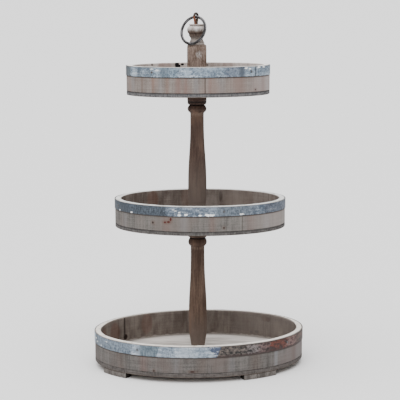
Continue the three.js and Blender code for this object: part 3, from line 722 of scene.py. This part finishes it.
def hoop_metal(tray, pale, deep, drag, dark_spots, flakes, patches, bare=None, zones=()):
    """Old galvanised strip: cloudy zinc with strokes dragged along it, fine scratches both ways,
    a thin dark lower edge and white flaking. bare is the degrees where the zinc ends in a
    slanting blue wedge, past which zones of rusted metal begin."""
    g = Graph(f"{tray.name}_hoop_metal")
    height, run = g.axis(2), g.attribute("run")
    strip = g.flat(run, height)
    clouds = g.noise(170, (1.3, 1, 1), 5, 0.75, seed=2.2, vector=strip)
    wide = g.noise(22, (1.3, 0.5, 1), 2, seed=9.4, vector=strip)
    fine = g.noise(420, (1, 1, 1), 3, 0.75, seed=4.6, vector=strip)
    strokes = g.noise(150, (7, 0.8, 1), 3, 0.6, seed=6.9, vector=strip)
    crosses = g.noise(260, (0.35, 3, 1), 2, 0.6, seed=8.3, vector=strip)
    blots = g.noise(95, (1.5, 0.9, 1), 3, 0.6, seed=12.2, vector=strip)

    def at(degrees):
        return float(tray.way_round(math.radians(degrees)))

    def strayed(value, by_clouds, by_fine=0.0):
        """A length that wanders with the clouds and the fine noise, by so many mm each."""
        return value + (clouds - 0.5) * (by_clouds * MM) + (fine - 0.5) * (by_fine * MM)

    middle = tray.band_middle - tray.foot
    zinc = clouds * (0.55 - drag) + wide * 0.2 + fine * 0.25 + strokes * drag
    colour = g.mottle(zinc, 0.07, deep, pale)
    colour = g.mix((strokes * 0.6 + fine * 0.4).ramp(0.55, 0.64) * 0.6, colour, (208, 214, 220))
    scratches = crosses * 0.5 + fine * 0.5
    colour = g.mix(scratches.ramp(0.42, 0.34) * 0.5, colour, (60, 66, 74))
    scratched = crosses * 0.4 + clouds * 0.35 + fine * 0.25
    slanted = run + (tray.band_top - height) * 0.3
    cloudy = strayed(run, 14, 6)
    for start, end, soft, dark, light, strength in patches:
        patch = cloudy.ramp(at(start), at(start) + 10 * MM)
        patch = patch * (cloudy if soft > 3 else slanted).ramp(at(end), at(end) - soft * MM)
        colour = g.mix(patch * strength, colour, g.mottle(scratched, 0.08, dark, light))
    for degrees, reach, strength in dark_spots:
        spot = g.near(tray.spot(degrees, middle), reach * MM, (1, 1, 0.3))
        broken = spot * (clouds * 0.5 + fine * 0.5).ramp(0.34, 0.56) * strength
        colour = g.mix(broken, colour, (54, 60, 68))
    metal = 0.3 + clouds * 0.1
    if zones:
        drop, end = tray.band_top - height, at(20)
        wedge = strayed(run - drop * 0.77, 0, 3).ramp(at(bare), at(bare) + 1.5 * MM)
        smear = g.mix((strokes * 0.5 + fine * 0.5).ramp(0.53, 0.6), (62, 72, 94), (186, 192, 200))
        colour = g.mix(wedge * 0.95, colour, smear)
        mottled = blots * 0.35 + clouds * 0.3 + fine * 0.35
        first, shade = at(zones[0][0]), g.mottle(mottled, 0.06, *zones[0][1:])
        for degrees, dark, light in zones[1:]:
            place = strayed(run + (blots - 0.5) * (50 * MM), 20)
            shade = g.mix(place.ramp(at(degrees) - 4 * MM, at(degrees) + 12 * MM), shade,
                          g.mottle(mottled, 0.06, dark, light))
        shade = g.mix(scratches.ramp(0.57, 0.65) * 0.5, shade, (126, 120, 117))
        burnt = strayed(height, 12).ramp(tray.band_foot + 6 * MM, tray.band_foot + 1 * MM)
        top = strayed(height, 5).ramp(tray.band_top - 3 * MM, tray.band_top)
        shade = g.mix((burnt * 0.9).over(top * 0.7), shade, (40, 17, 13))
        zone = strayed(run + drop * 0.4, 12).ramp(first, first + 2 * MM)
        zone = zone * run.ramp(end + 60 * MM, end)
        colour = g.mix(zone, colour, shade)
        metal = metal * (1 - zone * 0.9)
    low = strayed(height - tray.band_foot, 3, 2).ramp(1.8 * MM, 0.3 * MM)
    high = strayed(height, 0, 2).ramp(tray.band_top - 1.4 * MM, tray.band_top - 0.3 * MM)
    colour = g.mix((low * 0.8).over(high * 0.4), colour, (52, 48, 46))
    # Painted shade at the lap: a dark edge along the end of the outer layer, and a painted shadow
    # on the layer beneath, just past that end.
    end = at(tray.lap_end)
    under = end - at(180) + at(-180)
    lap = run.ramp(end - 3 * MM, end - 1.8 * MM)
    lap = lap.over(run.ramp(under + 3 * MM, under) * run.ramp(under - 2 * MM, under - 1 * MM))
    colour = g.mix(lap * 0.85, colour, (30, 26, 24))
    for degrees, reach, strength, lift in flakes:
        spot = g.near(tray.spot(degrees, middle + lift * MM), reach * MM, (1, 1, 2.2))
        chips = (spot * 0.6 + fine * 0.5 + clouds * 0.5 - 0.5).ramp(0.38, 0.44) * strength
        colour = g.mix(chips, colour, (236, 238, 238))
    relief = clouds * 0.5 + fine * 0.3 + strokes * 0.2
    return g.finish(colour, 0.5 + clouds * 0.3, metal, height=relief, relief=0.25 * MM)


def post_wood(name, dark, light, grey, foot, head, joints, pale):
    """Stained turned wood: fine upright grain, greyer over the share grey of its length from the
    foot and darker towards its head, partly its own weathering and partly painted shade under the
    tray above, with painted shade in the groove and on the shoulder under the stub at the heights
    given as joints, and a paler worn ring at the height pale."""
    g = Graph(name)
    height = g.axis(2)
    fibres = g.noise(420, (1, 1, 26), 2, seed=1.9)
    lines = g.noise(170, (1, 1, 14), 3, seed=3.3)
    patches = g.noise(34, (1, 1, 4), 3, seed=5.5)
    speck = g.noise(600, (1, 1, 3), 2, 0.7, seed=7.2)
    grain = fibres * 0.35 + lines * 0.4 + speck * 0.25
    length = head - foot
    colour = g.mottle(grain * 0.7 + patches * 0.3, 0.12, dark, light)
    # Greyer towards the foot and darker towards the head: partly the wood's weathering, partly
    # painted shade under the tray above.
    colour = g.mix(height.ramp(foot + grey * length, foot) * 0.75, colour, (112, 102, 95))
    colour = g.mix(height.ramp(foot + 0.55 * length, head) * 0.75, colour, (38, 23, 18))
    colour = g.mix(patches.ramp(0.56, 0.7) * 0.35, colour, (112, 88, 74))
    # Painted shade in the groove and at the stub's shoulder.
    for high in joints:
        colour = g.mix(height.hump(high, 3 * MM, 1 * MM) * 0.85, colour, (20, 13, 11))
    worn = height.hump(pale, 6 * MM) * 0.22 * lines.ramp(0.3, 0.6)
    colour = g.mix(worn, colour, (140, 122, 108))
    return g.finish(colour, 0.6 + fibres * 0.25, height=grain, relief=0.3 * MM, gloss=MATT)


def finial_wood(foot):
    """The finial: fine brown grain on the block with one paler worn patch, dark turned work, and
    whitewash left on the knob's upper half, which also stands in for a painted highlight where
    light falls on its top, with a painted highlight along the block's shoulder and painted shade
    as dark lines in its grooves."""
    g = Graph("finial_wood")
    height = g.axis(2) - foot
    fibres = g.noise(420, (1, 1, 9), 2, seed=2.7)
    lines = g.noise(330, (1, 1, 4), 3, 0.65, seed=4.4)
    patches = g.noise(60, (1, 1, 2), 3, seed=8.1)
    speck = g.noise(600, (1, 1, 2), 2, 0.7, seed=3.8)
    grain = fibres * 0.35 + lines * 0.35 + speck * 0.3
    block = g.mottle(grain, 0.14, (82, 67, 58), (141, 124, 114))
    block = g.mix(patches.ramp(0.5, 0.68) * 0.3, block, (150, 132, 122))
    pale = g.near((POST_LINE + 5 * MM, -21 * MM, foot + 78 * MM), 11 * MM, (1.2, 1, 0.9))
    chipped = (lines * 0.5 + speck * 0.5).ramp(0.4, 0.56)
    block = g.mix(pale * chipped * 1.2, block, (176, 172, 170))
    turned = g.mottle(grain, 0.12, (58, 46, 40), (98, 84, 75))
    spread = height.ramp(123 * MM, 106 * MM) * (0.4 + grain * 0.4)
    turned = g.mix(spread, turned, (160, 152, 146))
    colour = g.mix(height.ramp(100 * MM, 103.5 * MM), block, turned)
    wander = height + (patches - 0.5) * (9 * MM) + (lines - 0.5) * (4 * MM)
    # Whitewash on the knob's upper half, partly a painted highlight where the light falls on its
    # top.
    whitewash_and_highlight = g.mottle(patches * 0.5 + grain * 0.5, 0.1, (170, 160, 154), (226, 223, 220))
    colour = g.mix(wander.ramp(126 * MM, 139 * MM) * 0.95, colour, whitewash_and_highlight)
    # Painted highlight along the block's shoulder.
    shoulder_highlight = height.ramp(98 * MM, 99.5 * MM) * height.ramp(104 * MM, 101 * MM)
    colour = g.mix(shoulder_highlight * 0.45, colour, (190, 182, 176))
    # Painted shade: dark lines in the grooves and under the ledge and the cap.
    groove_shades = ((140.6, 1.5, 0.9), (123.2, 1.6, 0.6), (118, 1.2, 0.4), (104.6, 1.3, 0.6),
               (99.3, 0.9, 0.5))
    for high, half, strength in groove_shades:
        colour = g.mix(height.hump(high * MM, half * MM) * strength, colour, (48, 34, 30))
    colour = g.mix(height.ramp(141.5 * MM, 142.5 * MM) * 0.6, colour, (132, 112, 102))
    return g.finish(colour, 0.78 + fibres * 0.2, height=grain, relief=0.35 * MM, gloss=MATT)


def small_metal(name, dark, light, worn, metal, rough):
    """The metal of nails and screws: two cloudy tones, with a third where it is worn."""
    g = Graph(name)
    clouds = g.noise(260, (1, 1, 1), 4, 0.65, seed=3.7)
    spots = g.noise(91, (1, 1, 1), 3, 0.6, seed=6.1)
    colour = g.mottle(clouds, 0.12, dark, light)
    colour = g.mix(spots.ramp(0.5, 0.66) * 0.8, colour, worn)
    return g.finish(colour, rough + clouds * 0.25, metal, height=clouds, relief=0.25 * MM)


def eye_metal(foot):
    """The rusted eye: nearly black over the bend, rust orange on its front leg, olive brown on
    its back leg, with dark streaks along the rod."""
    g = Graph("eye_metal")
    height, way = g.axis(2), g.attribute("way")
    clouds = g.noise(420, (1, 1, 3), 4, 0.65, seed=3.7)
    orange = g.mottle(clouds, 0.1, (66, 36, 24), (140, 84, 56))
    olive = g.mottle(clouds, 0.1, (42, 34, 26), (84, 70, 50))
    legs = g.mix(way.ramp(0.44, 0.52), orange, olive)
    dark = g.mottle(clouds, 0.1, (24, 17, 15), (62, 48, 42))
    bend = (height + (clouds - 0.5) * (6 * MM)).ramp(foot + 15 * MM, foot + 20 * MM)
    return g.finish(g.mix(bend, legs, dark), 0.6 + clouds * 0.25, 0.2, height=clouds,
                    relief=0.3 * MM)


def ring_metal(centre, radius):
    """Dark iron with scratches along the wire, and a painted reflection of a light at the upper
    right: brighter on the outside of its upper right and the inside of its lower left."""
    g = Graph("ring_metal")
    out, way = g.attribute("out"), g.attribute("way")
    clouds = g.noise(300, (1, 1, 1), 4, 0.7, seed=3.7)
    scratches = g.noise(2.6, (0.3, 1, 1), 3, 0.6, seed=2.9, vector=g.flat(way, out))
    right, up = g.axis(0) - centre[0], g.axis(2) - centre[2]
    diagonal = (right + up) * (0.7 / radius)
    dark = g.mottle(clouds, 0.1, (14, 12, 13), (50, 47, 49))
    # Painted reflection: brighter where the wire faces up and to the right.
    painted_reflection = (diagonal * out * 0.9 + (clouds - 0.5) * 1.2).ramp(0.3, 0.8)
    colour = g.mix(painted_reflection * 0.6, dark, (146, 144, 146))
    colour = g.mix(scratches.ramp(0.55, 0.63) * 0.6, colour, (156, 155, 158))
    return g.finish(colour, 0.48 + clouds * 0.25, 0.2, height=clouds, relief=0.15 * MM)


def foot_block_wood(dark, light):
    """A foot: the same grey-brown as the walls, grain along it, painted shade that makes its end
    faces nearly black, and painted shade along its top where it meets the tray.
    """
    g = Graph("foot_block_wood")
    weave = g.noise(330, (1, 1, 2), 3, 0.6, seed=1.1)
    broad = g.noise(60, (1, 1, 3), 3, seed=2.1)
    grain = weave * 0.5 + broad * 0.5
    colour = g.mottle(grain, 0.12, dark, light)
    # Painted shade: the end faces nearly black.
    end_shade = g.attribute("from_end").ramp(0.9 * MM, 0.3 * MM)
    colour = g.mix(end_shade * 0.95, colour, (24, 20, 18))
    # Painted shade along the top, where the foot meets the tray.
    top = g.axis(2).ramp(BOTTOM.foot - GAP - 1.8 * MM, BOTTOM.foot - GAP - 0.6 * MM)
    colour = g.mix(top * 0.5, colour, (54, 46, 42))
    return g.finish(colour, 0.8 + weave * 0.15, height=grain, relief=0.3 * MM, gloss=MATT)


# Looks

# On the walls, streaks are (degrees, mm wide, colour, strength), knots (degrees, height, mm,
# flatness, colour) and inner marks (degrees, height, mm, flatness, colour, strength).
BROWN, ORANGE, GREY, PINK = (82, 62, 52), (112, 74, 56), (122, 122, 124), (112, 80, 73)
LINE, SOOT, RED = (44, 36, 32), (14, 12, 13), (72, 26, 24)
WALL_LOOKS = {
    "bottom": dict(
        dark=(74, 71, 69), light=(111, 107, 104), warm=(100, 89, 85),
        inside=((84, 74, 68), (134, 125, 118)), rim=((186, 178, 168), (236, 230, 222)),
        wear=0.43, edge_line=1.0, seam=0.3,
        streaks=[
            (-18, 130, (132, 124, 123), 0.55), (-124.5, 16, PINK, 0.25),
            (-47.5, 8, (142, 145, 150), 0.4), (-62, 24, BROWN, 0.3), (-92, 22, BROWN, 0.3),
            (-140, 18, BROWN, 0.25), (-76, 12, GREY, 0.25), (-106, 14, GREY, 0.25),
            (-30, 20, BROWN, 0.3)],
        knots=[(-118, 13.5, 2.6, 0.8, LINE), (-97, 14, 7.5, 2.6, (50, 34, 32))],
        inner_marks=[
            (137, 23, 10, 0.9, (40, 28, 22), 1.0), (137.8, 42, 3.5, 0.05, LINE, 0.9),
            (40, 58, 10, 1, (62, 36, 28), 0.7), (43, 60, 14, 1, (84, 60, 50), 0.5),
            (49, 24, 9, 1.4, (60, 62, 60), 0.7), (53, 22, 7, 1.4, (60, 62, 60), 0.6),
            (88, 56, 34, 1, (104, 70, 60), 0.45), (120, 46, 26, 0.6, (104, 70, 58), 0.35),
            (148, 40, 30, 0.7, (108, 74, 62), 0.45), (165, 36, 24, 0.5, (104, 72, 58), 0.4),
            (35, 44, 190, 1, (124, 116, 111), 0.5)]),
    "middle": dict(
        dark=(80, 77, 75), light=(118, 114, 110), warm=(110, 100, 95),
        inside=((85, 74, 68), (142, 133, 127)), rim=((188, 186, 182), (238, 238, 236)),
        wear=0.1, edge_line=0.8, seam=0.5,
        streaks=[
            (-138, 2.5, LINE, 0.35), (-33, 2.5, LINE, 0.25), (-112, 16, PINK, 0.25),
            (-55, 20, PINK, 0.2), (-100, 16, GREY, 0.35), (-40, 16, GREY, 0.4),
            (-150, 14, GREY, 0.35), (-82, 12, PINK, 0.3), (-12, 16, GREY, 0.4),
            (-18, 150, (158, 150, 146), 0.55)],
        knots=[
            (-110.5, 30, 5.5, 1.6, RED), (-113, 29, 4, 1.4, RED), (-109, 36, 3.4, 0.6, RED),
            (-122, 27, 3.6, 1, LINE), (-74, 17.5, 3, 1, LINE)],
        inner_marks=[
            (60, 44, 70, 1, (128, 117, 110), 0.55), (128, 44, 26, 0.7, (108, 80, 68), 0.5),
            (75, 48, 8, 0.4, LINE, 0.35), (100, 44, 24, 0.5, (112, 92, 82), 0.4)]),
    "top": dict(
        dark=(102, 94, 89), light=(139, 131, 126), warm=(130, 113, 106),
        inside=((140, 128, 122), (196, 188, 183)), rim=((204, 202, 198), (242, 241, 238)),
        wear=0.1, edge_line=1.2, seam=0.9,
        streaks=[
            (-131, 7, ORANGE, 0.35), (-118, 8, ORANGE, 0.35), (-124, 9, GREY, 0.3),
            (-109, 12, PINK, 0.5), (-103, 8, PINK, 0.45), (-143, 7, BROWN, 0.35),
            (-18, 90, (166, 158, 156), 0.6), (-60, 22, PINK, 0.2), (-75, 14, GREY, 0.3),
            (-95, 10, GREY, 0.4), (-157, 12, GREY, 0.4), (-30, 14, PINK, 0.3),
            (-84, 7, PINK, 0.3)],
        knots=[(-41.8, 14, 2.6, 1, LINE)],
        inner_marks=[
            (106, 60, 8.5, 0.6, SOOT, 1.0), (104, 57, 6, 1, SOOT, 1.0),
            (101, 61, 7, 1.5, SOOT, 1.0), (132, 62, 5, 1, LINE, 0.7), (79, 59, 5, 1, LINE, 0.7),
            (60, 52, 26, 1, PINK, 0.3), (118, 56, 30, 1, (120, 88, 80), 0.5)]),
}

BOARD_LOOKS = {
    "bottom": dict(pale=(222, 216, 210), worn=(150, 142, 136),
                   side=((66, 61, 59), (98, 93, 90)), junction_shade_strength=0.1),
    "middle": dict(pale=(212, 208, 204), worn=(150, 142, 136),
                   side=((60, 58, 57), (98, 95, 93)), junction_shade_strength=0.5),
    "top": dict(pale=(204, 200, 196), worn=(142, 134, 128),
                side=((66, 67, 69), (110, 108, 108)), junction_shade_strength=0.6),
}

# On the bands, dark spots are (degrees, mm either way, strength), flakes the same with a height
# in mm, patches (from, to, mm of soft end, dark, light, strength) and zones of rusted metal
# (degrees where it starts, dark, light).
HOOP_LOOKS = {
    "bottom": dict(
        pale=(170, 180, 192), deep=(107, 120, 133), drag=0.2,
        dark_spots=[(-169, 14, 0.9), (-128, 6, 0.5)],
        flakes=[(-160, 9, 0.5, -8), (-153, 9, 0.5, 5), (-170, 12, 0.7, 2), (-167, 10, 0.6, -4)],
        patches=[
            (-172, -130, 14, (66, 78, 91), (126, 138, 150), 0.9),
            (-128, -114.5, 1.2, (58, 72, 82), (112, 126, 136), 0.92),
            (-114.5, -105, 12, (74, 88, 104), (150, 162, 174), 0.8),
            (-105, -94, 10, (160, 168, 176), (186, 194, 202), 0.3)],
        bare=-89.3,
        zones=[
            (-82, (8, 6, 5), (94, 84, 78)),
            (-68, (22, 17, 16), (118, 109, 108)),
            (-60.5, (28, 8, 6), (100, 80, 78)),
            (-53, (28, 7, 5), (99, 47, 33)),
            (-38.5, (38, 17, 15), (119, 91, 86)),
            (-28, (24, 11, 9), (87, 66, 59))]),
    "middle": dict(
        pale=(135, 146, 159), deep=(70, 81, 95), drag=0.05,
        dark_spots=[(-176, 34, 0.9), (-150, 34, 0.7), (-74, 5, 0.5), (-52, 10, 0.5)],
        flakes=[
            (-157, 9, 0.8, -8), (-141, 10, 0.8, -8), (-103, 11, 0.9, -7), (-98.8, 13, 1, -6),
            (-89.5, 11, 1, -7), (-84.8, 16, 1, -7), (-82, 15, 1, -7), (-61.5, 13, 0.8, -7),
            (-105.5, 7.5, 0.8, 2), (-103, 8, 0.8, -1.5), (-107, 7, 0.8, 4)],
        patches=[
            (-205, -110, 14, (32, 39, 46), (78, 87, 98), 0.95),
            (-80, -52, 14, (62, 69, 77), (112, 122, 133), 0.85),
            (-44, 15, 14, (44, 48, 58), (100, 106, 119), 0.75)]),
    "top": dict(
        pale=(153, 167, 180), deep=(88, 102, 117), drag=0.1,
        dark_spots=[
            (-172, 16, 0.9), (-147, 8, 0.8), (-135, 12, 0.5), (-121, 18, 0.5), (-57, 12, 0.9)],
        flakes=[
            (-50, 8, 1.0, 2), (-46, 6, 1.0, -3), (-53, 11, 1, 8), (-49, 9, 1, 6),
            (-38, 12, 1, 8.5), (-30, 12, 1, 8.5), (-132, 10, 0.6, 7), (-127, 11, 0.6, 5)],
        patches=[
            (-190, -158, 10, (54, 62, 66), (100, 108, 113), 0.9),
            (-158, -150, 8, (130, 142, 152), (186, 196, 204), 0.5),
            (-149, -138, 8, (64, 78, 90), (136, 148, 158), 0.5),
            (-136, -127, 8, (66, 80, 92), (158, 173, 185), 0.7),
            (-126, -107, 10, (56, 74, 88), (136, 154, 168), 0.8),
            (-106, -99, 8, (140, 154, 166), (172, 186, 198), 0.7),
            (-74, -52, 12, (60, 68, 84), (120, 130, 144), 0.75)]),
}

# Dressing the trays

nail_metal = small_metal("nail_metal", (48, 48, 50), (104, 106, 108), (76, 66, 62),
                         metal=0.4, rough=0.5)
screw_metal = small_metal("screw_metal", (112, 114, 116), (168, 170, 172), (136, 122, 104),
                          metal=0.75, rough=0.35)
foot_wood = foot_block_wood((78, 73, 70), (112, 107, 103))


def wall_span(seams, i):
    """The two end angles of a wall segment in radians, nearest to the front."""
    start, end = seams[i], seams[(i + 1) % 4]
    if end < start:
        start -= 360
    if (start + end) / 2 > 135:
        start, end = start - 360, end - 360
    return math.radians(start), math.radians(end)


for tray in TRAYS:
    wood = wall_wood(tray, **WALL_LOOKS[tray.name])
    for i, segment in enumerate(SIDES):
        start, end = wall_span(tray.seams, i)
        piece(f"{tray.name}_staves_{segment}", [wall_skin(tray, start, end)], wood,
              f"{tray.name}_wall_{segment}")
        place = tray.point((start + end) / 2, WALL / 2, tray.foot)
        screw = screw_skin(place, radius=3.4 * MM, head=2.4 * MM, shank=1.6 * MM,
                           length=29.5 * MM)
        piece(f"{tray.name}_screw_{segment}", [screw], screw_metal,
              f"{tray.name}_floor_screw_{segment}")
    piece(f"{tray.name}_board", [board_skin(tray)], board_wood(tray, **BOARD_LOOKS[tray.name]),
          f"{tray.name}_floor")
    piece(f"{tray.name}_hoop", [band_skin(tray)], hoop_metal(tray, **HOOP_LOOKS[tray.name]),
          f"{tray.name}_band")
    end = math.radians(tray.lap_end)
    spots = [(end - tray.angle(end, LAP / 2), 2 * BAND_METAL + LAP_GAP)]
    spots += [(math.radians(degrees), BAND_METAL) for degrees in tray.nails]
    for i, (t, stand) in enumerate(spots):
        seat = tray.point(t, -(BAND_STAND + stand + NAIL_GAP), tray.band_middle)
        piece(f"{tray.name}_nail_head_{i + 1}", [nail_skin(seat, tray.facing(t))], nail_metal,
              f"{tray.name}_band_nail_{i + 1}")

feet = (("front_left", 213, 72), ("front_right", 301.9, 84), ("back_right", 33, 72),
        ("back_left", 121.9, 84))
for name, degrees, length in feet:
    piece(f"foot_block_{name}", [foot_skin(degrees, length * MM)], foot_wood, f"foot_{name}")
    place = BOTTOM.point(math.radians(degrees), WALL / 2, 0.2 * MM)
    screw = screw_skin(place, radius=3.7 * MM, head=2.7 * MM, shank=1.8 * MM, length=33 * MM)
    piece(f"foot_fixing_{name}", [screw], screw_metal, f"foot_screw_{name}")

# Posts, finial, eye and ring

POST_TONES = {"lower": dict(dark=(68, 52, 43), light=(104, 85, 73), grey=0.4),
              "upper": dict(dark=(56, 42, 36), light=(90, 73, 64), grey=0.6)}
for name, post in POSTS.items():
    foot, top = (corner.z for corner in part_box(f"{name}_post"))
    stub_foot = top - post["stub"] * MM
    groove = stub_foot - SHOULDER * MM
    under_bead = groove - (post["bead_height"] + 4) * MM
    wood = post_wood(f"{name}_post_wood", **POST_TONES[name], foot=foot, head=top,
                     joints=(groove, stub_foot), pale=under_bead)
    piece(f"{name}_spindle", [turned_skin(post_outline(**post), foot)], wood, f"{name}_post")

finial_foot, finial_top = (corner.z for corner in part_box("finial"))
piece("knob_and_block", [turned_skin(finial_outline(), finial_foot)], finial_wood(finial_foot),
      "finial")

# The eye's outline is in millimetres, across and up from the middle of its foot. Its loop lies
# in the plane of the knob's axis and forward.
eye_x, eye_foot, eye_yaw = -4.0 * MM, finial_top + GAP, math.radians(-35)
rod_radius, loop_radius, loop_height = 2.68 * MM, 6.95, 16.25
forward = np.array((math.sin(eye_yaw), -math.cos(eye_yaw), 0))
loop = arc((0, loop_height), loop_radius, -42, 222, 45)
leg = curve(((2.7, -0.4), (3.2, 4.0), (3.6, 9.0), loop[0]), 14)
rod = np.concatenate([leg, loop, leg[::-1] * (-1, 1)]) * MM
rod_path = np.array((eye_x, 0, eye_foot)) + np.outer(rod[:, 0], forward) + np.outer(
    rod[:, 1], (0, 0, 1))
shank = np.array([(2.7, -29.5), (2.7, -0.2), (2.9, 0.2), (1.0, 0.6)]) * MM
piece("eye_loop", [tube_skin(rod_path, rod_radius),
                   turned_skin(shank, eye_foot, count=32, squared=False, centre=(eye_x, 0))],
      eye_metal(eye_foot), "eye_screw")

ring_radius, ring_wire = 31.0 * MM, 3.08 * MM
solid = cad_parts["handle_ring"].data
corners = np.array([v.co for v in solid.vertices], float)
centre = corners.mean(0)
plane = np.linalg.svd(corners - centre, full_matrices=False)[2]
turns = np.linspace(0, 2 * math.pi, 120, endpoint=False)
ring_path = centre + ring_radius * (np.outer(np.cos(turns), plane[0])
                                    + np.outer(np.sin(turns), plane[1]))
piece("carrying_ring", [tube_skin(ring_path, ring_wire, closed=True, count=20)],
      ring_metal(centre.tolist(), ring_radius), "handle_ring", body="ring")

for node in ("base_screw", "base_washer", "middle_stud", "top_stud"):
    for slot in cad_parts[node].material_slots:
        slot.material = screw_metal

# Floor, light and camera

floor_mesh = bpy.data.meshes.new("studio_floor")
far = 400.0
floor_mesh.from_pydata([(-far, -far, 0), (far, -far, 0), (far, far, 0), (-far, far, 0)],
                       [], [(0, 1, 2, 3)])
floor = bpy.data.objects.new("studio_floor", floor_mesh)
bpy.context.scene.collection.objects.link(floor)
floor_mesh.materials.append(Graph("studio_paper").finish((245.8, 245.8, 245.8), 0.9))

world = bpy.data.worlds.new("soft_studio")
bpy.context.scene.world = world
world.use_nodes = True
sky = world.node_tree.nodes["Background"]
sky.inputs["Color"].default_value = (1, 1, 1, 1)
sky.inputs["Strength"].default_value = 0.62


def lamp(name, kind, place, **settings):
    """A lamp at a place, turned to face a point near the middle of the stand."""
    light = bpy.data.lights.new(name, kind)
    for key, value in settings.items():
        setattr(light, key, value)
    stand = bpy.data.objects.new(name, light)
    bpy.context.scene.collection.objects.link(stand)
    aim = Vector((0, 0, 0.45))
    way = aim - Vector(place)
    turn = way.to_track_quat("-Z", "Y").to_matrix().to_4x4()
    stand.matrix_world = Matrix.Translation(place) @ turn


lamp("overhead_light", "SUN", (-0.35, -0.75, 4.0), energy=4.4, angle=math.radians(75))
lamp("key_softbox", "AREA", (-0.9, -2.9, 1.6), size=1.6, energy=16)

camera_data = bpy.data.cameras.new("photo_camera")
camera_data.lens = 113.65
camera_data.sensor_width = 36
camera_data.clip_end = 1000
camera = bpy.data.objects.new("photo_camera", camera_data)
bpy.context.scene.collection.objects.link(camera)
camera_place, looks_down, roll = (0.0035, -2.8268, 0.8366), 9.2015, -0.00366
camera.matrix_world = (Matrix.Translation(camera_place)
                       @ Matrix.Rotation(math.radians(90 - looks_down), 4, "X")
                       @ Matrix.Rotation(roll, 4, "Z"))
bpy.context.scene.camera = camera
